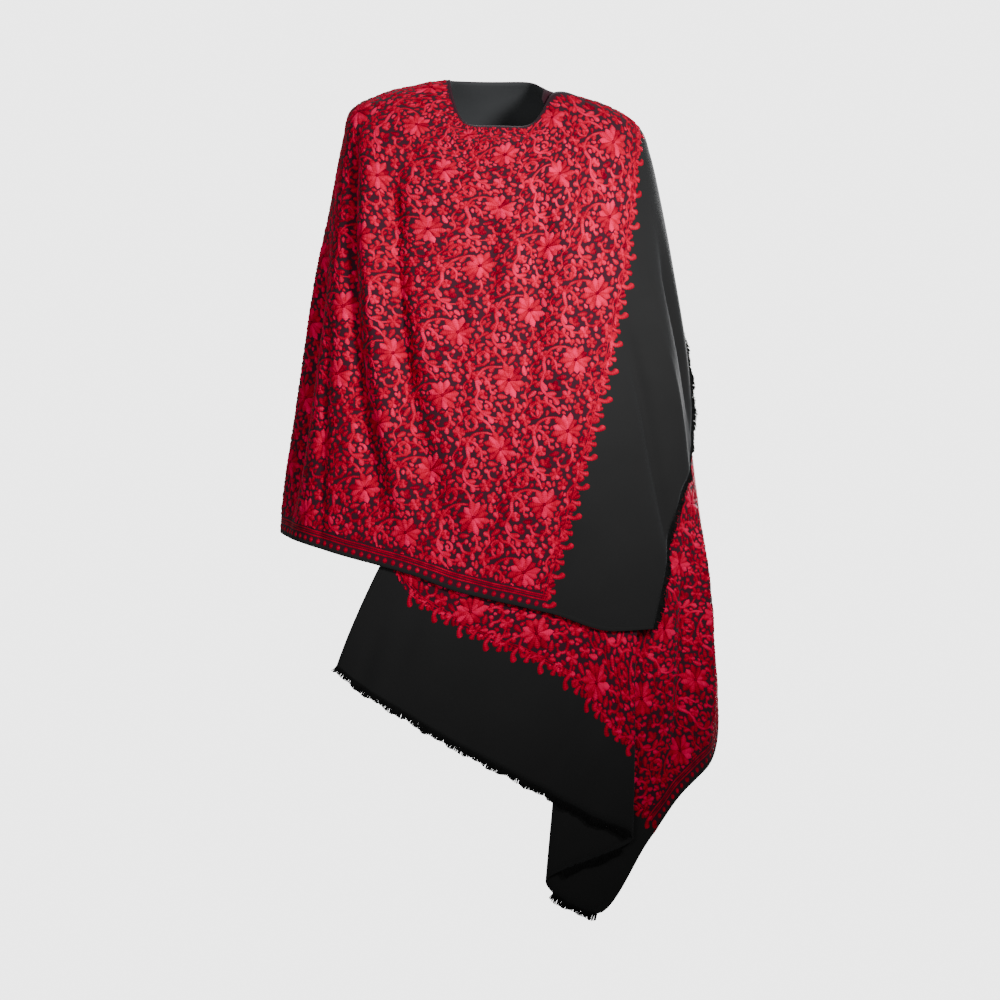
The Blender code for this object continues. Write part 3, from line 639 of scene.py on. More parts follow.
# ---------------------------------------------------------------- strokes of chain stitch
Stroke = namedtuple("Stroke", "path widths lift rise tone across fine")
DROP = ((0.0, 0.26), (0.28, 0.72), (0.60, 1.0), (0.85, 0.80), (1.0, 0.18))
OVAL = ((0.0, 0.15), (0.16, 0.74), (0.50, 1.0), (0.84, 0.74), (1.0, 0.15))
DOT = ((0.0, 0.35), (0.5, 1.0), (1.0, 0.35))
HOOK = ((0.0, 0.34), (0.2, 0.50), (0.4, 0.60), (0.6, 0.74), (0.78, 0.96), (0.91, 1.0), (1.0, 0.50))
PETAL = ((0.0, 0.36), (0.28, 0.66), (0.54, 0.98), (0.72, 1.0), (0.87, 0.60), (1.0, 0.06))
RIBBON_POINTS = 19


def smooth_path(marks, count):
    """Evenly spaced points on a smooth curve through given marks."""
    marks = np.asarray(marks, float)
    padded = np.concatenate((2 * marks[:1] - marks[1:2], marks, 2 * marks[-1:] - marks[-2:-1]))
    at = np.linspace(0, len(marks) - 1, 12 * len(marks))
    low = np.clip(at.astype(int), 0, len(marks) - 2)
    t = (at - low)[:, None]
    line = spline(padded, low, t)
    run = run_along(line)
    return read_line(line, run, np.linspace(0, run[-1], count))


def leaf(x, y, heading, length, width, profile=DROP, bend=0.0, lift=0.0, tone=0.5, across=3, fine=True):
    """A filled leaf, petal or dot that starts at a place and grows the way it heads, in degrees."""
    share, part = np.array(profile).T
    way = np.radians(heading + bend * (share - 0.5))
    steps = np.diff(share, prepend=0.0) * length
    path = np.stack((x + np.cumsum(np.cos(way) * steps), y + np.cumsum(np.sin(way) * steps)), axis=1)
    rise = min(1.15, 0.45 + 0.12 * width)
    return Stroke(path, part * width, lift, rise, tone, across, fine)


def ribbon(marks, width, tone, taper):
    """A stem of chain stitch; taper gives its width at the start, in the middle and at the end."""
    path = smooth_path(marks, RIBBON_POINTS)
    widths = width * np.interp(np.linspace(0, 1, RIBBON_POINTS), (0.0, 0.45, 1.0), taper)
    return Stroke(path, widths, 0.0, 0.45 + 0.1 * width, tone, 3, False)


def plain_line(x, y, width, lift, rise, tone, across=3):
    """A line of even width along the cloth."""
    path = np.stack((x, y), 1)
    return Stroke(path, np.full(len(path), width), lift, rise, tone, across, True)


def fan(x, y, heading, lobes, spread, start, length, width, profile=DROP, bend=0.0, lift=0.0, tone=0.5,
        fine=False):
    """Leaves or petals fanned out from one place; the middle ones are the longest in an open fan."""
    made = []
    for number in range(lobes):
        aside = number - 0.5 * (lobes - 1)
        way = math.radians(heading + spread * aside)
        size = 1.0 if spread * lobes > 350 else 1.0 - 0.2 * abs(aside) / max(1.0, 0.5 * (lobes - 1))
        made.append(leaf(x + start * math.cos(way), y + start * math.sin(way), math.degrees(way),
                         length * size, width, profile, bend * aside, lift, tone, 3, fine))
    return made


def flower(x, y, radius, petals, turn, tone):
    """Large blossom: pointed petals, a smaller round on them and a dark heart."""
    made = []
    for number in range(petals):
        heading = turn + 360.0 * number / petals
        way = math.radians(heading)
        inner = 0.20 * radius
        long = radius * (0.86 if number % 2 else 0.70)
        shade = tone + 0.16 * math.sin(2.4 * number + turn)
        made.append(leaf(x + inner * math.cos(way), y + inner * math.sin(way), heading, long,
                         1.22 * math.pi * radius / petals, PETAL, 20.0 * (-1) ** number, 0.0, shade, 5,
                         False))
    made += [petal._replace(tone=tone + 0.08 - 0.12 * (number % 2))
             for number, petal in enumerate(fan(x, y, turn + 20.0, petals - 5, 360.0 / (petals - 5),
                                                0.10 * radius, 0.46 * radius,
                                                1.0 * math.pi * radius / petals, DROP, 0.0, 0.4))]
    made.append(leaf(x - 0.09 * radius, y, 0.0, 0.18 * radius, 0.18 * radius, OVAL, 0.0, 0.9, tone - 0.3, 3,
                     False))
    return made


def blossom(x, y, radius, petals, turn, tone):
    """Small blossom of rounded petals about a dot."""
    made = fan(x, y, turn, petals, 360.0 / petals, 0.14 * radius, 0.86 * radius,
               min(5.6, 1.5 * math.pi * radius / petals), DROP, 0.0, 0.0, tone)
    made.append(leaf(x - 0.2 * radius, y, 0.0, 0.4 * radius, 0.4 * radius, DOT, 0.0, 0.5, tone + 0.15, 3,
                     False))
    return made


def comb(path, start, end, count, side, length, width, lean, tone):
    """Leaves like the teeth of a comb that grow from one side of a scroll."""
    made = []
    steps = np.gradient(path, axis=0)
    share = np.linspace(0, 1, len(path))
    for number, at in enumerate(np.linspace(start, end, count)):
        x, y = (np.interp(at, share, path[:, axis]) for axis in range(2))
        dx, dy = (np.interp(at, share, steps[:, axis]) for axis in range(2))
        heading = math.degrees(math.atan2(dy, dx)) + side * lean
        size = 0.74 + 0.26 * math.sin(math.pi * (number + 0.8) / (count + 0.6))
        made.append(leaf(x, y, heading, length * size, width, DROP, side * 30.0, 0.1,
                         tone + 0.05 * (-1) ** number))
    return made


def curl(x, y, heading, size, turn, width, tone):
    """Tendril that winds in on itself and ends in a bulb."""
    count = 11
    share = np.linspace(0, 1, count)
    way = np.radians(heading + turn * share ** 1.2)
    steps = size * 0.34 * (1 - 0.60 * share)
    path = np.stack((x + np.cumsum(np.cos(way) * steps), y + np.cumsum(np.sin(way) * steps)), axis=1)
    widths = width * np.interp(share, (0, 0.5, 1), (0.8, 1.0, 0.8))
    end = path[-1]
    bulb = leaf(end[0] - 0.7 * width, end[1], 0.0, 1.4 * width, 1.4 * width, DOT, 0.0, 0.2, tone + 0.08, 3,
                False)
    return [Stroke(path, widths, 0.0, 0.45 + 0.1 * width, tone, 3, False), bulb]


# ---------------------------------------------------------------- the all-over pattern's repeat
# Two columns of flowers, the second half a drop lower. Millimetres from each flower's middle: x to
# the wearer's left as the front is worn, y up.
COLUMN_PITCH = 86.3
DROP_PITCH = 98.0
FIRST_COLUMN = 203.0
FIRST_FLOWER = 47.0
STITCH_GAP = 0.35           # wool left clear round each leaf that fills the ground
TOOTH_GAP = 0.5             # the same round a comb's leaf
TOOTH_CROWDING = 0.12       # a comb's leaf is left out where more of its place than this is taken
PATTERN_SEED = 11
FILLING_BEND = 35           # degrees
FILLING_TONES = (0.30, 0.68)

Scroll = namedtuple("Scroll", "name width tone marks")
SCROLLS = (
    Scroll("great_scroll", 4.6, 0.60, ((14, 14), (27, 12), (40, 3), (44, -13), (38, -28), (40, -44),
                                       (32, -56), (16, -60), (4, -55))),
    Scroll("second_scroll", 4.0, 0.54, ((47, -6), (37, -5), (26, -12), (21, -24))),
    Scroll("low_tendril", 4.4, 0.50, ((-9, -20), (-15, -30), (-11, -42), (1, -44), (6, -36), (0, -31))),
    Scroll("high_tendril", 4.4, 0.52, ((12, 19), (24, 29), (38, 31), (49, 24), (48, 13), (39, 11),
                                       (36, 18))),
    Scroll("side_tendril", 4.2, 0.48, ((-24, -46), (-34, -43), (-47, -36), (-50, -25), (-41, -19),
                                       (-34, -25), (-39, -31))),
    Scroll("vine", 2.6, 0.42, ((-30, -50), (-24, -38), (-31, -24), (-25, -9), (-33, 6), (-26, 22),
                               (-32, 36), (-30, 50))),
)
Comb = namedtuple("Comb", "scroll start end count side length width lean tone")
COMBS = (
    Comb("great_scroll", 0.46, 0.90, 4, -1, 15.5, 6.0, 38, 0.64),
    Comb("great_scroll", 0.08, 0.36, 3, -1, 11.5, 5.8, 44, 0.60),
    Comb("great_scroll", 0.12, 0.97, 8, 1, 12.5, 6.2, 40, 0.54),
    Comb("second_scroll", 0.20, 0.95, 4, -1, 9.0, 5.0, 50, 0.58),
    Comb("second_scroll", 0.20, 0.95, 4, 1, 9.5, 5.0, 50, 0.54),
    Comb("low_tendril", 0.05, 0.80, 5, -1, 9.5, 5.2, 50, 0.50),
    Comb("low_tendril", 0.02, 0.30, 2, 1, 8.5, 5.0, 50, 0.50),
    Comb("high_tendril", 0.02, 0.80, 7, 1, 10.0, 5.4, 50, 0.50),
    Comb("high_tendril", 0.08, 0.60, 4, -1, 9.0, 5.2, 50, 0.54),
    Comb("side_tendril", 0.05, 0.80, 6, -1, 9.5, 5.2, 50, 0.46),
    Comb("side_tendril", 0.05, 0.45, 3, 1, 9.0, 5.2, 50, 0.48),
    Comb("vine", 0.02, 0.94, 8, 1, 9.5, 5.4, 44, 0.44),
    Comb("vine", 0.08, 0.98, 8, -1, 9.5, 5.4, 44, 0.46),
)
Bloom = namedtuple("Bloom", "x y radius petals turn tone")
BLOOMS = (
    Bloom(2, -55, 9.5, 6, 12, 0.56),
    Bloom(58, 4, 8.5, 6, 40, 0.50),
    Bloom(31, -31, 7.0, 5, 70, 0.56),
    Bloom(-14, 31, 8.0, 5, 10, 0.50),
    Bloom(-40, 42, 8.0, 5, 30, 0.46),
)
# Small shapes that fill the ground, set down one by one where there is room.
Filling = namedtuple("Filling", "lobes spread length width tries")
FILLINGS = (
    Filling(3, 56, 12.5, 6.6, 2500),
    Filling(0, 300, 11.0, 4.0, 900),
    Filling(2, 60, 11.0, 5.8, 2500),
    Filling(1, 0, 14.0, 6.2, 2500),
    Filling(3, 60, 8.5, 5.2, 2000),
    Filling(1, 0, 10.5, 5.4, 3000),
    Filling(2, 64, 7.5, 4.6, 2000),
    Filling(1, 0, 7.5, 4.6, 3500),
    Filling(1, 0, 5.4, 3.8, 2500),
)


class Ground:
    """The wool of one repeat, which goes round at its edges, and where it is stitched over."""
    STEP = 0.5

    def __init__(self, width, height):
        self.shape = (round(width / self.STEP), round(height / self.STEP))
        self.size = np.array((width, height))
        self.owner = np.zeros(self.shape, int)

    def cells(self, stroke, gap):
        """Cells that a stroke covers, with a gap round it."""
        reach = 0.5 * stroke.widths.max() + gap
        low = np.floor((stroke.path.min(0) - reach) / self.STEP).astype(int)
        high = np.ceil((stroke.path.max(0) + reach) / self.STEP).astype(int)
        xs, ys = np.meshgrid(np.arange(low[0], high[0]), np.arange(low[1], high[1]), indexing="ij")
        here = np.stack((xs, ys), axis=-1).reshape(-1, 1, 2) * self.STEP
        start, end = stroke.path[:-1], stroke.path[1:]
        along = end - start
        t = np.clip(np.sum((here - start) * along, axis=-1) / np.sum(along ** 2, axis=-1), 0, 1)
        away = np.linalg.norm(here - start - along * t[..., None], axis=-1)
        half = 0.5 * (stroke.widths[:-1] + (stroke.widths[1:] - stroke.widths[:-1]) * t)
        inside = np.any(away < half + gap, axis=1).reshape(xs.shape)
        return xs[inside] % self.shape[0], ys[inside] % self.shape[1]

    def cover(self, stroke, owner=1):
        self.owner[self.cells(stroke, 0.0)] = owner

    def crowding(self, stroke, gap, stem=0):
        """Share of a stroke's place that others have taken, apart from the stem it grows from."""
        found = self.owner[self.cells(stroke, gap)]
        return np.mean((found > 0) & (found != stem))

    def is_taken(self, x, y):
        return self.owner[int(x / self.STEP) % self.shape[0], int(y / self.STEP) % self.shape[1]] > 0


def repeat_strokes(seed):
    """Every stroke of one repeat of the pattern, in millimetres."""
    rng = np.random.default_rng(seed)
    ground = Ground(2 * COLUMN_PITCH, DROP_PITCH)
    made = []
    later = []
    stem = 1
    for column in range(2):
        middle = np.array((column * COLUMN_PITCH, column * 0.5 * DROP_PITCH))
        blooms = flower(*middle, 22.5, 12, 8 + 20 * column, 0.54)
        for bloom in BLOOMS:
            blooms += blossom(*(middle + (bloom.x, bloom.y)), *bloom[2:])
        for stroke in blooms:
            ground.cover(stroke)
        made += blooms
        for scroll in SCROLLS:
            stem += 1
            marks = np.array(scroll.marks, float) + middle
            even = scroll.name == "vine"
            stroke = ribbon(marks, scroll.width, scroll.tone, (1, 1, 1) if even else (0.6, 1, 0.5))
            made.append(stroke)
            ground.cover(stroke, stem)
            if "tendril" in scroll.name:
                end = stroke.path[-1]
                made.append(leaf(end[0] - 2.8, end[1], 0, 5.6, 5.6, OVAL, 0, 0.2, scroll.tone + 0.1, 3,
                                 False))
                ground.cover(made[-1], stem)
            for row in COMBS:
                if row.scroll == scroll.name:
                    later += [(tooth, stem) for tooth in comb(stroke.path, *row[1:])]
    for tooth, stem in later:
        outer = tooth._replace(path=tooth.path[1:], widths=tooth.widths[1:])
        if ground.crowding(outer, TOOTH_GAP, stem) < TOOTH_CROWDING:
            ground.cover(tooth)
            made.append(tooth)
    for filling in FILLINGS:
        profile = DROP if filling.length > 4.5 else DOT
        for _ in range(filling.tries):
            x, y = rng.uniform(0, 1, 2) * ground.size
            if ground.is_taken(x, y):
                continue
            flow = (140 * math.sin(2 * math.pi * x / COLUMN_PITCH)
                    + 110 * math.cos(2 * math.pi * y / DROP_PITCH))
            heading = flow + rng.choice((0, 0, 30, -30, 65, -65, 90))
            way = math.radians(heading)
            half = 0.5 * filling.length
            foot = (x - half * math.cos(way), y - half * math.sin(way))
            bend, tone = rng.uniform(-FILLING_BEND, FILLING_BEND), rng.uniform(*FILLING_TONES)
            if filling.lobes == 0:
                group = curl(*foot, heading, filling.length, filling.spread * rng.choice((-1, 1)),
                             filling.width, tone)
            elif filling.lobes == 1:
                group = [leaf(*foot, heading, filling.length, filling.width, profile, bend, 0.0, tone)]
            else:
                group = fan(*foot, heading, filling.lobes, filling.spread, 0.0, filling.length, filling.width,
                            profile, bend, 0.0, tone, True)
            if all(ground.crowding(stroke, STITCH_GAP) == 0.0 for stroke in group):
                for stroke in group:
                    ground.cover(stroke)
                made += group
    return made


# ---------------------------------------------------------------- borders
def moved(stroke, x, y, turned=False):
    """A stroke set down on the cloth; turned round for the other end or edge."""
    path = -stroke.path if turned else stroke.path
    return stroke._replace(path=path + (x, y))


def scallop_strokes():
    """One unit of the scalloped edge: a bud whose hook turns up, and a smaller bud of two lobes."""
    return [leaf(7.0, -4.0, 172, 21.0, 6.2, HOOK, -110.0, 0.2, 0.62),
            leaf(5.0, -3.0, 204, 10.0, 4.8, DROP, -20.0, 0.0, 0.50),
            leaf(4.0, 2.5, 128, 9.0, 5.0, DROP, -40.0, 0.1, 0.56),
            leaf(7.0, 16.5, 190, 14.0, 5.4, HOOK, -50.0, 0.1, 0.58),
            leaf(5.5, 19.0, 142, 10.5, 5.0, DROP, 30.0, 0.1, 0.52),
            leaf(7.0, 10.5, 184, 7.5, 4.2, DROP, 25.0, 0.0, 0.44),
            leaf(7.0, 28.5, 184, 7.5, 4.2, DROP, -25.0, 0.0, 0.46)]


END_POINTS = 241            # points of a line across the cloth
HEM_POINTS = 601            # points of a line along it
SCALLOP_START = 14.0        # the first bud of the scalloped edge, up from the hem
SCALLOP_PITCH = 40.0
BUD = 0.0125                # how far the buds of the scalloped edge reach beyond its base
BorderLine = namedtuple("BorderLine", "across width tone")
HEM_LINES = (
    BorderLine(15.5, 1.7, 0.46),
    BorderLine(18.6, 1.5, 0.36),
    BorderLine(21.6, 1.7, 0.48),
)
DOT_ROW = BorderLine(8.8, 6.4, 0.52)
DOT_PITCH = 12.6
END_LINES = (
    BorderLine(7.0, 1.3, 0.42),
    BorderLine(9.6, 1.2, 0.34),
)


def border_strokes():
    """Scalloped edges at both ends, and lines and a row of dots along the hem."""
    made = []
    low, high = 1000 * (PLAIN_END + BUD), 1000 * (LENGTH - PLAIN_END - BUD)
    width = 1000 * WIDTH
    unit_strokes = scallop_strokes()
    for number in range(int(width / SCALLOP_PITCH)):
        across = SCALLOP_START + SCALLOP_PITCH * number
        for stroke in unit_strokes:
            made.append(moved(stroke, low, across))
            made.append(moved(stroke, high, across, True))
    for line in END_LINES:
        at = np.linspace(16.0, width - 8.0, END_POINTS)
        for base, way in ((low, 1), (high, -1)):
            wave = base + way * (line.across + 0.5 * np.sin(at / 6.7 + line.across))
            made.append(plain_line(wave, at, line.width, 0.3, 0.6, line.tone))
    for line in HEM_LINES:
        at = np.linspace(low + 1.0, high - 1.0, HEM_POINTS)
        wave = line.across + 0.3 * np.sin(at / 9.0 + line.across)
        made.append(plain_line(at, wave, line.width, 0.1, 0.5, line.tone))
    for at in np.arange(low + 4.0, high - 4.0, DOT_PITCH):
        made.append(leaf(at - 0.5 * DOT_ROW.width, DOT_ROW.across, 0.0, DOT_ROW.width, DOT_ROW.width, OVAL,
                         0.0, 0.0, DOT_ROW.tone))
    return made


def drift(path):
    """Slow wander of a hand-drawn pattern, so that no two repeats are quite alike. Millimetres."""
    x, y = path[:, 0], path[:, 1]
    return np.stack((5.0 * np.sin(y / 47.0 + 0.6) + 3.0 * np.sin(x / 61.0 + y / 29.0),
                     5.5 * np.sin(x / 53.0 + 1.1) + 3.0 * np.sin(y / 37.0 - x / 33.0)), axis=1)


def field_strokes():
    """The repeat set down over the whole cloth, with the small drift of hand work."""
    tile = repeat_strokes(PATTERN_SEED)
    made = []
    for column in range(-2, 12):
        for row in range(-1, 9):
            shift = (FIRST_COLUMN + 2 * COLUMN_PITCH * column, FIRST_FLOWER + DROP_PITCH * row)
            for number, stroke in enumerate(tile):
                change = 0.07 * math.sin(12.9 * number + 4.1 * column + 7.7 * row)
                path = stroke.path + shift
                made.append(stroke._replace(path=path + drift(path), tone=stroke.tone + change))
    return made


FIELD_HEM = 0.0235          # the pattern starts this far above the hem
FIELD_NECK = 0.0038         # and ends this far below the neck edge


def in_field(u, v):
    """Where the all-over pattern lies, inside the borders. Metres."""
    ends = (u > PLAIN_END + BUD) & (u < LENGTH - PLAIN_END - BUD)
    return ends & (v > FIELD_HEM) & (v < WIDTH - FIELD_NECK)


def anywhere(u, v):
    """No limit: hems and borders bring their own places."""
    return np.ones(u.shape, bool)


# ---------------------------------------------------------------- meshes
def add_object(name, data):
    """An object of its own for a mesh, a lamp or a camera, put in the scene."""
    made = bpy.data.objects.new(name, data)
    bpy.context.scene.collection.objects.link(made)
    return made


def mesh_piece(name, vertices, faces, finish):
    """A joined mesh from arrays of vertices and four-sided faces."""
    mesh = bpy.data.meshes.new(name)
    mesh.vertices.add(len(vertices))
    mesh.vertices.foreach_set("co", np.ascontiguousarray(vertices, dtype=np.float32).ravel())
    mesh.loops.add(faces.size)
    mesh.loops.foreach_set("vertex_index", np.ascontiguousarray(faces, dtype=np.int32).ravel())
    mesh.polygons.add(len(faces))
    mesh.polygons.foreach_set("loop_start", np.arange(len(faces), dtype=np.int32) * faces.shape[1])
    mesh.update(calc_edges=True)
    mesh.shade_smooth()
    mesh.materials.append(finish)
    return add_object(name, mesh)


SUNK = 0.1                  # how far a stroke's edges lie in the wool, in millimetres
FULLNESS = 1.32             # a worked stroke is this much wider than its drawn line
# Painted sheen: stitches that lie one way are drawn lighter, fixed to the cloth, as the light would catch
# them.
PAINTED_SHEEN = 0.15                 # how much lighter the stitches are that lie across the light
ACROSS_SHARES = {3: (-1.0, 0.0, 1.0), 5: (-1.0, -0.6, 0.0, 0.6, 1.0)}
ACROSS_RISES = {3: (0.0, 1.0, 0.0), 5: (0.0, 0.78, 1.0, 0.78, 0.0)}


def stitched_piece(name, strokes, charts, allowed, wool_half, finish):
    """Strokes as raised ribbons on the cloth, wherever a chart reaches."""
    groups = {}
    for stroke in strokes:
        groups.setdefault((len(stroke.path), stroke.across), []).append(stroke)
    all_vertices, all_faces, all_tones_and_shade, all_stitch = [], [], [], []
    used = 0
    for (count, across), members in groups.items():
        path = np.stack([stroke.path for stroke in members]) * MM
        widths = np.stack([stroke.widths for stroke in members]) * (FULLNESS * MM)
        lift, rise, tone = (np.array([getattr(stroke, field) for stroke in members])
                            for field in ("lift", "rise", "tone"))
        step = unit(np.gradient(path, axis=1))
        sideways = np.stack((-step[..., 1], step[..., 0]), axis=-1)
        share = np.array(ACROSS_SHARES[across])
        swell = np.array(ACROSS_RISES[across])
        flat = path[:, :, None] + sideways[:, :, None] * (0.5 * widths[:, :, None, None] * share[:, None])
        full = widths / widths.max(axis=1, keepdims=True)
        height = (lift[:, None, None] - SUNK + (rise[:, None] * np.sqrt(full))[:, :, None] * swell) * MM
        height = height + SUNK * MM * swell
        along = np.concatenate((np.zeros((len(path), 1)),
                                np.cumsum(np.linalg.norm(np.diff(path, axis=1), axis=-1), axis=1)), axis=1)
        stitch = np.stack(np.broadcast_arrays(along[:, :, None], 0.5 * widths[:, :, None] * share), axis=-1)
        slant = np.arctan2(step[..., 1], step[..., 0])[:, :, None]
        # Painted shade and painted sheen: each stroke is drawn darker towards its sunk edges, as if shaded
        # between rows, and lighter where its stitches lie one way.
        shade = tone[:, None, None] - 0.30 * (1 - swell) + PAINTED_SHEEN * np.cos(2 * slant - 1.9) + 0 * height
        index = np.arange(len(members) * count * across).reshape(len(members), count, across)
        a, b = index[:, :-1, :-1], index[:, 1:, :-1]
        c, d = index[:, 1:, 1:], index[:, :-1, 1:]
        faces = np.stack((a, d, c, b), axis=-1).reshape(-1, 4)
        inside = allowed(flat[..., 0], flat[..., 1]).ravel()
        for chart in charts:
            place, normal = find(chart, flat[..., 0], flat[..., 1])
            reach = (flat[..., 0] > chart.u_low - CHART_STEP) & (flat[..., 1] > chart.v_low - CHART_STEP)
            good = inside & reach.ravel() & ~np.isnan(place[..., 0]).ravel()
            keep = faces[good[faces].all(axis=1)]
            if not len(keep):
                continue
            wanted = np.unique(keep)
            renumber = np.zeros(len(good), dtype=int)
            renumber[wanted] = np.arange(len(wanted))
            vertices = (place + normal * (wool_half + height)[..., None]).reshape(-1, 3)[wanted]
            all_vertices.append(vertices)
            all_faces.append(renumber[keep] + used)
            all_tones_and_shade.append(shade.ravel()[wanted])
            all_stitch.append(stitch.reshape(-1, 2)[wanted])
            used += len(wanted)
    faces = np.concatenate(all_faces)
    made = mesh_piece(name, np.concatenate(all_vertices), faces, finish)
    # The tone attribute carries each stroke's dye tone together with this painted shade and painted sheen.
    tone_and_shade_values = made.data.attributes.new("tone", "FLOAT", "POINT")
    tone_and_shade_values.data.foreach_set("value", np.clip(np.concatenate(all_tones_and_shade), 0, 1).astype(np.float32))
    stitch = np.concatenate(all_stitch)[faces.ravel()]
    layer = made.data.uv_layers.new(name="stitch")
    layer.data.foreach_set("uv", stitch.astype(np.float32).ravel())
    return made


def cloth_piece(name, cloth, thickness, outside, inside):
    """The cloth as a thin closed shell, its reverse in the plain weave."""
    rows, columns = cloth.u.shape
    build = bmesh.new()
    bmesh.ops.create_grid(build, x_segments=columns - 1, y_segments=rows - 1, size=1.0)
    flat_layer = build.loops.layers.uv.new("cloth")
    places = {}
    for vertex in build.verts:
        row = round(0.5 * (vertex.co.y + 1) * (rows - 1))
        column = round(0.5 * (vertex.co.x + 1) * (columns - 1))
        places[vertex.index] = (row, column)
    build.verts.ensure_lookup_table()
    raised = cloth.points + cloth.normals * (0.5 * thickness)
    for vertex in build.verts:
        vertex.co = raised[places[vertex.index]]
    for face in build.faces:
        for loop in face.loops:
            spot = places[loop.vert.index]
            loop[flat_layer].uv = (cloth.u[spot], cloth.v[spot])
    mesh = bpy.data.meshes.new(name)
    build.to_mesh(mesh)
    build.free()
    mesh.shade_smooth()
    mesh.materials.append(outside)
    mesh.materials.append(inside)
    made = add_object(name, mesh)
    wall = made.modifiers.new("cloth_thickness", "SOLIDIFY")
    wall.thickness = thickness
    wall.offset = -1.0
    wall.use_even_offset = False
    wall.material_offset = 1
    return made


YARN_MARKS = 6              # points along one yarn
YARN_SIDES = 3
YARN_ROOT = 0.002           # a yarn starts this far inside the edge
YARN_TAPER = 0.30
YARN_LEAN = 0.16            # how far neighbouring yarns lean together
YARN_WAVE = 0.0011
YARN_DROP = 0.22            # share of its reach that a level yarn hangs down at its end


def fringe_piece(name, edges, length, spacing, yarn, seed, finish):
    """Frayed ends of the warp: loose yarns that grow from an edge, each a thin three-sided tube."""
    rng = np.random.default_rng(seed)
    all_vertices, all_faces = [], []
    used = 0
    for edge, inside, normals, flare in edges:
        run = run_along(edge)
        count = int(run[-1] / spacing)
        at = np.linspace(0.5 * spacing, run[-1] - 0.5 * spacing, count)
        at = at + rng.uniform(-0.4, 0.4, count) * spacing
        place = read_line(edge, run, at)
        tangent = unit(np.gradient(read_line(edge, run, np.sort(at)), axis=0))
        out = place - read_line(inside, run, at)
        out = unit(out - tangent * np.sum(out * tangent, axis=-1, keepdims=True))
        away = read_line(normals, run, at)
        spread = np.interp(at, run, flare)[:, None] * rng.uniform(0.5, 1.2, (count, 1))
        out = unit(out + unit(away) * spread)
        normal = np.cross(tangent, out)
        share = np.linspace(0.0, 1.0, YARN_MARKS)
        clump = np.sin(at / 0.0061 + seed) + 0.6 * np.sin(at / 0.0147)
        long = length * (0.80 + 0.11 * np.sin(at / 0.0083 + seed) + 0.07 * np.sin(at / 0.0031)
                         + rng.normal(0, 0.02, count))
        lean = YARN_LEAN * clump + rng.normal(0, 0.07, count)
        wave = rng.uniform(-1, 1, (count, 2)) * YARN_WAVE
        phase = rng.uniform(0, 6.28, count)
        reach = long[:, None] * share
        side = lean[:, None] * reach * (0.4 + 0.6 * share)
        side = side + wave[:, :1] * np.sin(phase[:, None] + 5 * share) * share
        off = wave[:, 1:] * np.cos(phase[:, None] + 4 * share) * share
        drop = YARN_DROP * reach * share * (1 - np.abs(out[:, 2:]))
        spine = (place[:, None] - out[:, None] * YARN_ROOT + out[:, None] * reach[..., None]
                 + tangent[:, None] * side[..., None] + normal[:, None] * off[..., None])
        spine[..., 2] -= drop
        radius = 0.5 * yarn * rng.uniform(0.75, 1.2, count)[:, None] * (1 - YARN_TAPER * share ** 2)
        corner = np.radians((90, 210, 330))
        ring = (tangent[:, None, None] * np.cos(corner)[:, None]
                + normal[:, None, None] * np.sin(corner)[:, None])
        vertices = spine[:, :, None] + ring * radius[..., None, None]
        here = used + np.arange(count * YARN_MARKS * YARN_SIDES).reshape(count, YARN_MARKS, YARN_SIDES)
        following = np.roll(here, -1, axis=2)
        faces = np.stack((here[:, :-1], following[:, :-1], following[:, 1:], here[:, 1:]), axis=-1)
        all_vertices.append(vertices.reshape(-1, 3))
        all_faces.append(faces.reshape(-1, 4))
        used += vertices.size // 3
    return mesh_piece(name, np.concatenate(all_vertices), np.concatenate(all_faces), finish)


# ---------------------------------------------------------------- materials
def linear(hex_colour):
    """An sRGB hex colour as linear red, green and blue."""
    parts = [int(hex_colour[at:at + 2], 16) / 255 for at in (1, 3, 5)]
    return tuple(part / 12.92 if part <= 0.04045 else ((part + 0.055) / 1.055) ** 2.4 for part in parts)


def add_node(tree, kind, inputs=None, **settings):
    """Add a node; each input is a value or another node's output."""
    node = tree.nodes.new(kind)
    for name, value in settings.items():
        setattr(node, name, value)
    for key, value in (inputs or {}).items():
        if isinstance(value, bpy.types.NodeSocket):
            tree.links.new(value, node.inputs[key])
        else:
            node.inputs[key].default_value = value
    return node


def add_math(tree, operation, first, second=0.0):
    return add_node(tree, "ShaderNodeMath", {0: first, 1: second}, operation=operation).outputs[0]


def add_noise(tree, place, scale, detail=2.0):
    inputs = {"Vector": place, "Scale": scale, "Detail": detail}
    return add_node(tree, "ShaderNodeTexNoise", inputs).outputs[0]


def mix_colours(tree, share, first, second):
    """The first colour where the share is 0 and the second where it is 1."""
    first, second = (colour if isinstance(colour, bpy.types.NodeSocket) else (*colour, 1.0)
                     for colour in (first, second))
    return add_node(tree, "ShaderNodeMix", {0: share, 6: first, 7: second}, data_type="RGBA").outputs[2]


def add_relief(tree, shader, height, strength, distance):
    """Fine relief that only the light sees, as deep as the distance in metres."""
    bump = add_node(tree, "ShaderNodeBump", {"Height": height, "Strength": strength, "Distance": distance})
    tree.links.new(bump.outputs[0], shader.inputs["Normal"])


def scaled(colour, share):
    return [share * part for part in colour]


def new_finish(name, **shader_values):
    made = bpy.data.materials.new(name)
    made.use_nodes = True
    tree = made.node_tree
    tree.nodes.clear()
    shader = add_node(tree, "ShaderNodeBsdfPrincipled")
    for key, value in shader_values.items():
        shader.inputs[key.replace("_", " ")].default_value = value
    add_node(tree, "ShaderNodeOutputMaterial", {"Surface": shader.outputs[0]})
    return made, tree, shader


TWILL_PITCH = 0.0014
FACE_BLEND = 0.001          # the worked ground ends sharply on the face
REVERSE_BLEND = 0.30        # and fades out slowly on the reverse


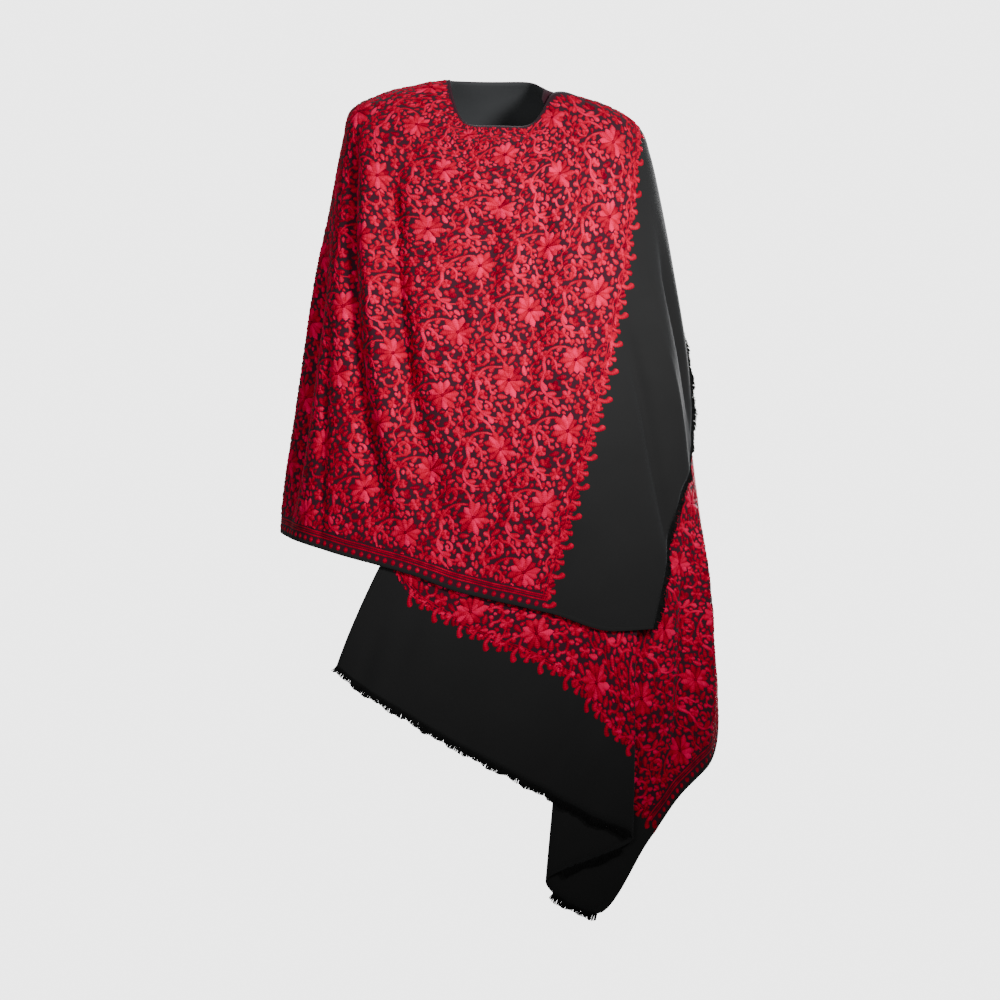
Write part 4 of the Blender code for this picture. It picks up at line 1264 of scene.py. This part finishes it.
def wool_finish(name, colour, ground, blend=None):
    """Fine woven wool, dyed black: matt, with a 2/2 twill and a faint nap that catches the light.

    Where blend is given, the stitched length has the colour ground, over that many metres.
    """
    made, tree, shader = new_finish(name, Roughness=0.88, IOR=1.5, Sheen_Weight=0.06, Sheen_Roughness=0.45,
                                    Sheen_Tint=(0.75, 0.78, 0.82, 1.0), Specular_IOR_Level=0.08)
    flat = add_node(tree, "ShaderNodeUVMap", uv_map="cloth").outputs[0]
    split = add_node(tree, "ShaderNodeSeparateXYZ", {0: flat})
    along, across = split.outputs[0], split.outputs[1]
    # The twill line of such wool is 0.7 mm wide. It is drawn twice as coarse, so that it shows.
    diagonal = add_math(tree, "MULTIPLY", add_math(tree, "ADD", along, across), 2 * math.pi / TWILL_PITCH)
    twill = add_math(tree, "SINE", diagonal)
    nap = add_noise(tree, flat, 900.0, 3.0)
    height = add_math(tree, "ADD", add_math(tree, "MULTIPLY", twill, 0.25), nap)
    add_relief(tree, shader, height, 0.35, 0.0006)
    shade = mix_colours(tree, add_noise(tree, flat, 14.0, 4.0), colour, scaled(colour, 0.72))
    if blend is not None:
        from_middle = add_math(tree, "ABSOLUTE", add_math(tree, "SUBTRACT", along, 0.5 * LENGTH))
        edge = 0.5 * LENGTH - PLAIN_END - BUD
        share = add_node(tree, "ShaderNodeMapRange",
                         {0: from_middle, 1: edge - blend, 2: edge, 3: 1.0, 4: 0.0})
        shade = mix_colours(tree, share.outputs[0], shade, ground)
    tree.links.new(shade, shader.inputs["Base Color"])
    return made


def thread_finish(name, dark, middle, light, stitch_length, row_width):
    """Dyed crewel yarn worked in chain stitch: rows of rounded loops with a soft silky sheen."""
    made, tree, shader = new_finish(name, Roughness=0.6, IOR=1.5, Sheen_Weight=0.08, Sheen_Roughness=0.4,
                                    Sheen_Tint=(1.0, 0.03, 0.08, 1.0), Specular_IOR_Level=0.12,
                                    Specular_Tint=(1.0, 0.05, 0.12, 1.0))
    # The tone attribute holds each stroke's dye tone with painted shade at its edges and painted sheen by
    # stitch direction.
    tone = add_node(tree, "ShaderNodeAttribute", attribute_name="tone").outputs["Fac"]
    stitch = add_node(tree, "ShaderNodeUVMap", uv_map="stitch").outputs[0]
    split = add_node(tree, "ShaderNodeSeparateXYZ", {0: stitch})
    row = add_math(tree, "DIVIDE", split.outputs[1], row_width)
    in_row = add_math(tree, "SUBTRACT", row, add_math(tree, "ROUND", row))
    chevron = add_math(tree, "MULTIPLY", add_math(tree, "ABSOLUTE", in_row), 0.9)
    chain = add_math(tree, "ADD", add_math(tree, "DIVIDE", split.outputs[0], stitch_length), chevron)
    loops = add_math(tree, "ABSOLUTE", add_math(tree, "SINE", add_math(tree, "MULTIPLY", chain, math.pi)))
    rounded = add_math(tree, "SUBTRACT", 1.0, add_math(tree, "MULTIPLY", in_row, in_row))
    place = add_node(tree, "ShaderNodeTexCoord").outputs["Object"]
    fibre = add_noise(tree, place, 1500.0)
    height = add_math(tree, "ADD", add_math(tree, "MULTIPLY", loops, rounded),
                      add_math(tree, "MULTIPLY", fibre, 0.25))
    add_relief(tree, shader, height, 0.5, 0.0007)
    streak = add_noise(tree, place, 90.0, 3.0)
    shift = add_math(tree, "MULTIPLY", add_math(tree, "SUBTRACT", streak, 0.5), 0.8)
    # Painted shade: the dips between chain loops are drawn darker and their crests lighter; the streaks are
    # random tone.
    tone_streaks_and_loop_shade = add_math(tree, "ADD", tone, add_math(tree, "ADD", shift, add_math(tree, "MULTIPLY", loops, 0.10)))
    ramp = add_node(tree, "ShaderNodeValToRGB", {0: tone_streaks_and_loop_shade})
    stops = ramp.color_ramp.elements
    for number, (at, colour) in enumerate(((0.08, dark), (0.95, light))):
        stops[number].position = at
        stops[number].color = (*colour, 1.0)
    stops.new(0.52).color = (*middle, 1.0)
    tree.links.new(ramp.outputs[0], shader.inputs["Base Color"])
    return made


def yarn_finish(name, colour):
    """Loose ends of black worsted warp, darker and lighter in patches."""
    made, tree, shader = new_finish(name, Roughness=0.9, IOR=1.5, Specular_IOR_Level=0.06)
    place = add_node(tree, "ShaderNodeTexCoord").outputs["Object"]
    shade = mix_colours(tree, add_noise(tree, place, 160.0), scaled(colour, 0.5), scaled(colour, 1.8))
    tree.links.new(shade, shader.inputs["Base Color"])
    add_relief(tree, shader, add_noise(tree, place, 1800.0, 1.0), 0.4, 0.0003)
    return made


def floor_finish(name, colour):
    """Plain matt studio paper."""
    made, tree, shader = new_finish(name, Roughness=0.95)
    place = add_node(tree, "ShaderNodeTexCoord").outputs["Object"]
    shade = mix_colours(tree, add_noise(tree, place, 3.0), colour, scaled(colour, 0.985))
    tree.links.new(shade, shader.inputs["Base Color"])
    return made


# ---------------------------------------------------------------- settings
class ShawlClothSettings(bpy.types.PropertyGroup):
    rows: bpy.props.IntProperty(name="Rows", description="Rows of faces from the neck edge to the hem",
                                default=112, min=40, max=160)
    thickness: bpy.props.FloatProperty(name="Cloth thickness", description="Thickness of the woven wool",
                                       default=0.0012, min=0.0006, max=0.003, unit="LENGTH", precision=5)
    wool: bpy.props.FloatVectorProperty(name="Wool", description="Colour of the plain black wool",
                                        subtype="COLOR", size=3, default=linear("#141414"), min=0, max=1)
    ground: bpy.props.FloatVectorProperty(name="Worked ground", description="Colour of wool between stitches",
                                          subtype="COLOR", size=3, default=linear("#240812"), min=0, max=1)
    # The reverse is drawn lighter than the face wool over the worked length: partly the grey backs of the
    # stitches, partly painted light standing in for the light that reaches the inside at the nape.
    reverse: bpy.props.FloatVectorProperty(name="Reverse", description="Colour of the wool's plain reverse",
                                           subtype="COLOR", size=3, default=linear("#2A2B2C"), min=0, max=1)


class ShawlStitchSettings(bpy.types.PropertyGroup):
    stitch_length: bpy.props.FloatProperty(name="Stitch length", description="Length of one chain stitch",
                                           default=0.0028, min=0.001, max=0.006, unit="LENGTH", precision=5)
    row_width: bpy.props.FloatProperty(name="Row width", description="Width of one row of chain stitch",
                                       default=0.0015, min=0.0008, max=0.004, unit="LENGTH", precision=5)
    dark: bpy.props.FloatVectorProperty(name="Dark thread", description="Colour of the deepest dyed yarn",
                                        subtype="COLOR", size=3, default=linear("#40000C"), min=0, max=1)
    middle: bpy.props.FloatVectorProperty(name="Crimson thread", description="Colour of most of the yarn",
                                          subtype="COLOR", size=3, default=linear("#86001C"), min=0, max=1)
    light: bpy.props.FloatVectorProperty(name="Light thread", description="Colour of the brightest dyed yarn",
                                         subtype="COLOR", size=3, default=linear("#B4003C"), min=0, max=1)


class ShawlFringeSettings(bpy.types.PropertyGroup):
    length: bpy.props.FloatProperty(name="Fringe length", description="Length of the frayed warp ends",
                                    default=0.0125, min=0.005, max=0.03, unit="LENGTH", precision=4)
    spacing: bpy.props.FloatProperty(name="Yarn spacing", description="Distance from one yarn to the next",
                                     default=0.0006, min=0.0005, max=0.004, unit="LENGTH", precision=5)
    yarn: bpy.props.FloatProperty(name="Yarn thickness", description="Thickness of one loose yarn",
                                  default=0.0019, min=0.0003, max=0.003, unit="LENGTH", precision=5)
    colour: bpy.props.FloatVectorProperty(name="Fringe", description="Colour of the loose yarn ends",
                                          subtype="COLOR", size=3, default=linear("#090909"), min=0, max=1)


class ShawlStageSettings(bpy.types.PropertyGroup):
    distance: bpy.props.FloatProperty(name="Camera distance", description="From the shawl to the camera",
                                      default=6.0, min=2.0, max=12.0, unit="LENGTH")
    field: bpy.props.FloatProperty(name="Picture width", description="Width of the picture at the shawl",
                                   default=1.4, min=0.8, max=3.0, unit="LENGTH")
    floor: bpy.props.FloatProperty(name="Floor height", description="Height of the studio floor",
                                   default=-1.42, min=-3.0, max=-1.2, unit="LENGTH")
    paper: bpy.props.FloatVectorProperty(name="Paper", description="Colour of the studio floor",
                                         subtype="COLOR", size=3, default=linear("#F4F4F4"), min=0, max=1)


# ---------------------------------------------------------------- building
shared = {}                 # what several operators need


def shared_cloth(context):
    """The draped cloth and its charts, worked out once."""
    settings = context.scene.shawl_cloth
    if shared.get("rows") != settings.rows:
        cloth = wrapped_cloth(settings.rows)
        shared["rows"] = settings.rows
        shared["cloth"] = cloth
        shared["charts"] = (make_chart(cloth, 0, cloth.inner_fold),
                            make_chart(cloth, cloth.outer_fold - 2, cloth.u.shape[1] - 1))
    return shared["cloth"], shared["charts"]


def place_piece(made):
    """Let a piece ride on the shawl's body."""
    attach(made, BODY)


class SHAWL_OT_cloth(bpy.types.Operator):
    """Drape the woven wool cloth"""
    bl_idname = "shawl.cloth"
    bl_label = "Wool cloth"

    def execute(self, context):
        settings = context.scene.shawl_cloth
        cloth, _ = shared_cloth(context)
        outside = wool_finish("black_wool_twill", settings.wool, settings.ground, FACE_BLEND)
        # Painted light: the reverse is lighter than the face over the worked length, as on the lit nape.
        inside = wool_finish("black_wool_reverse", settings.wool, settings.reverse, REVERSE_BLEND)
        made = cloth_piece("wool_cloth", cloth, settings.thickness, outside, inside)
        place_piece(made)
        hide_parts("front_stretch", "back_stretch", "hanging_end")
        return {"FINISHED"}


class SHAWL_OT_hems(bpy.types.Operator):
    """Turn the narrow hems along both long edges"""
    bl_idname = "shawl.hems"
    bl_label = "Hems"

    def execute(self, context):
        settings = context.scene.shawl_cloth
        _, charts = shared_cloth(context)
        finish = wool_finish("black_wool_hem", settings.wool, settings.wool)
        at = np.linspace(1.0, 1000 * LENGTH - 1.0, HEM_POINTS)
        rolls = [plain_line(at, np.full(HEM_POINTS, across), width, 0.0, 0.5, 0.5, 5)
                 for across, width in ((2.6, 4.6), (1000 * WIDTH - 1.9, 2.4))]
        piece = stitched_piece("rolled_hems", rolls, charts, anywhere, 0.5 * settings.thickness, finish)
        piece.data.uv_layers["stitch"].name = "cloth"
        place_piece(piece)
        return {"FINISHED"}


class SHAWL_OT_embroidery(bpy.types.Operator):
    """Work the all-over pattern of flowers, scrolls and leaves"""
    bl_idname = "shawl.embroidery"
    bl_label = "All-over embroidery"

    def execute(self, context):
        settings = context.scene.shawl_stitch
        _, charts = shared_cloth(context)
        finish = thread_finish("crimson_crewel_yarn", settings.dark, settings.middle, settings.light,
                               settings.stitch_length, settings.row_width)
        shared["thread"] = finish
        strokes = field_strokes()
        front = 1000 * FRONT_LENGTH
        back = front + 1000 * BACK_LENGTH
        stretches = (("front", -1000, front), ("back", front, back), ("hanging", back, 9000))
        half = 0.5 * context.scene.shawl_cloth.thickness
        for stretch, low, high in stretches:
            for kind, fine in (("flowers_and_scrolls", False), ("leaves", True)):
                here = [stroke for stroke in strokes
                        if low <= stroke.path[0, 0] < high and stroke.fine == fine]
                piece = stitched_piece(f"{stretch}_{kind}", here, charts, in_field, half, finish)
                place_piece(piece)
        return {"FINISHED"}


class SHAWL_OT_borders(bpy.types.Operator):
    """Work the scalloped ends and the lines and dots along the edges"""
    bl_idname = "shawl.borders"
    bl_label = "Embroidered borders"

    def execute(self, context):
        settings = context.scene.shawl_cloth
        _, charts = shared_cloth(context)
        piece = stitched_piece("border_embroidery", border_strokes(), charts, anywhere,
                               0.5 * settings.thickness, shared["thread"])
        place_piece(piece)
        return {"FINISHED"}


class SHAWL_OT_fringe(bpy.types.Operator):
    """Fray the warp ends at both ends of the cloth"""
    bl_idname = "shawl.fringe"
    bl_label = "Fringe"

    def execute(self, context):
        settings = context.scene.shawl_fringe
        cloth, _ = shared_cloth(context)
        finish = yarn_finish("frayed_wool_warp", settings.colour)
        points = cloth.points
        corner, inner, outer = cloth.corner, cloth.inner_fold, cloth.outer_fold
        bottom, above = points[-1], points[-2]
        facing = cloth.normals[-1]
        down_arm = np.linspace(0, 1, len(points))
        flare = 0.15 + 1.1 * ease(0.30, 0.38, down_arm) * (1 - ease(0.50, 0.62, down_arm))
        flat = np.zeros(points.shape[1])
        runs = (slice(outer + 3, None), slice(inner + 4, outer - 3), slice(corner, inner - 3))
        hanging = [(bottom[part], above[part], facing[part], flat[part]) for part in runs]
        edges = (
            ("fringe_front_yarn", [(points[:, 0], points[:, 1], cloth.normals[:, 0], flare)],
             ["fringe_front"]),
            ("fringe_hanging_yarn", hanging,
             ["fringe_hanging_front", "fringe_hanging_middle", "fringe_hanging_rear"]),
        )
        for seed, (name, lines, nodes) in enumerate(edges):
            piece = fringe_piece(name, lines, settings.length, settings.spacing, settings.yarn, seed, finish)
            place_piece(piece)
            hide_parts(*nodes)
        return {"FINISHED"}


CENTRE = Vector((0.0056, 0.0, -0.546))   # the middle of the photograph, at the shawl
FILM_WIDTH = 36.0
AMBIENT = 0.3               # soft light from all round
BACKDROP = 3.4              # how much brighter the backdrop is to the camera alone
FLOOR_RADIUS = 1.4
Lamp = namedtuple("Lamp", "name place aim size spread power")
LAMPS = (
    Lamp("key_softbox", (0.95, -1.62, 0.30), (0.0, 0.0, -0.28), 0.40, 46.0, 9.4),
    Lamp("fill_softbox", (-0.85, -2.1, 0.0), (-0.05, 0.0, -0.24), 0.9, 50.0, 3.7),
    Lamp("back_softbox", (0.9, 2.5, -0.1), (0.0, 0.0, -0.4), 1.0, 70.0, 22.0),
)


class SHAWL_OT_stage(bpy.types.Operator):
    """Set up the camera, the studio light and the floor"""
    bl_idname = "shawl.stage"
    bl_label = "Stage"

    def execute(self, context):
        settings = context.scene.shawl_stage
        scene = context.scene
        lens = bpy.data.cameras.new("photo_camera")
        lens.sensor_width = FILM_WIDTH
        lens.lens = FILM_WIDTH * settings.distance / settings.field
        camera = add_object("photo_camera", lens)
        camera.location = CENTRE + Vector((0.0, -settings.distance, 0.0))
        camera.rotation_euler = (math.radians(90), 0.0, 0.0)
        scene.camera = camera

        for lamp in LAMPS:
            light = bpy.data.lights.new(lamp.name, "AREA")
            light.shape = "SQUARE"
            light.size = lamp.size
            light.spread = math.radians(lamp.spread)
            light.energy = lamp.power
            made = add_object(lamp.name, light)
            made.location = lamp.place
            aim = Vector(lamp.aim) - Vector(lamp.place)
            made.rotation_euler = aim.to_track_quat("-Z", "Y").to_euler()

        world = bpy.data.worlds.new("studio_white")
        world.use_nodes = True
        background = world.node_tree.nodes["Background"]
        background.inputs["Color"].default_value = (1.0, 1.0, 1.0, 1.0)
        seen = add_node(world.node_tree, "ShaderNodeLightPath").outputs["Is Camera Ray"]
        brighter = add_math(world.node_tree, "MULTIPLY", seen, BACKDROP)
        strength = add_math(world.node_tree, "ADD", brighter, AMBIENT)
        world.node_tree.links.new(strength, background.inputs["Strength"])
        scene.world = world

        build = bmesh.new()
        bmesh.ops.create_circle(build, cap_ends=True, segments=96, radius=FLOOR_RADIUS)
        mesh = bpy.data.meshes.new("studio_floor")
        build.to_mesh(mesh)
        build.free()
        for vertex in mesh.vertices:
            vertex.co.z = settings.floor
        mesh.materials.append(floor_finish("studio_paper", settings.paper))
        add_object("studio_floor", mesh)
        return {"FINISHED"}


class SHAWL_PT_panel(bpy.types.Panel):
    """Builds the shawl piece by piece"""
    bl_idname = "SHAWL_PT_panel"
    bl_label = "Embroidered shawl"
    bl_space_type = "VIEW_3D"
    bl_region_type = "UI"
    bl_category = "Shawl"

    def draw(self, context):
        layout = self.layout
        for group, operators in PANEL_ROWS:
            settings = getattr(context.scene, group)
            box = layout.box()
            for name in settings.__annotations__:
                box.prop(settings, name)
            for operator in operators:
                box.operator(operator)


PANEL_ROWS = (
    ("shawl_cloth", ("shawl.cloth", "shawl.hems")),
    ("shawl_stitch", ("shawl.embroidery", "shawl.borders")),
    ("shawl_fringe", ("shawl.fringe",)),
    ("shawl_stage", ("shawl.stage",)),
)
SETTINGS = (
    ("shawl_cloth", ShawlClothSettings),
    ("shawl_stitch", ShawlStitchSettings),
    ("shawl_fringe", ShawlFringeSettings),
    ("shawl_stage", ShawlStageSettings),
)
CLASSES = (SHAWL_OT_cloth, SHAWL_OT_hems, SHAWL_OT_embroidery, SHAWL_OT_borders, SHAWL_OT_fringe,
           SHAWL_OT_stage, SHAWL_PT_panel)


def register():
    for name, group in SETTINGS:
        bpy.utils.register_class(group)
        setattr(bpy.types.Scene, name, bpy.props.PointerProperty(type=group))
    for made in CLASSES:
        bpy.utils.register_class(made)


def unregister():
    for made in reversed(CLASSES):
        bpy.utils.unregister_class(made)
    for name, group in reversed(SETTINGS):
        delattr(bpy.types.Scene, name)
        bpy.utils.unregister_class(group)


def main():
    register()
    bpy.ops.shawl.cloth()
    bpy.ops.shawl.hems()
    bpy.ops.shawl.embroidery()
    bpy.ops.shawl.borders()
    bpy.ops.shawl.fringe()
    bpy.ops.shawl.stage()


if __name__ == "__main__":
    main()
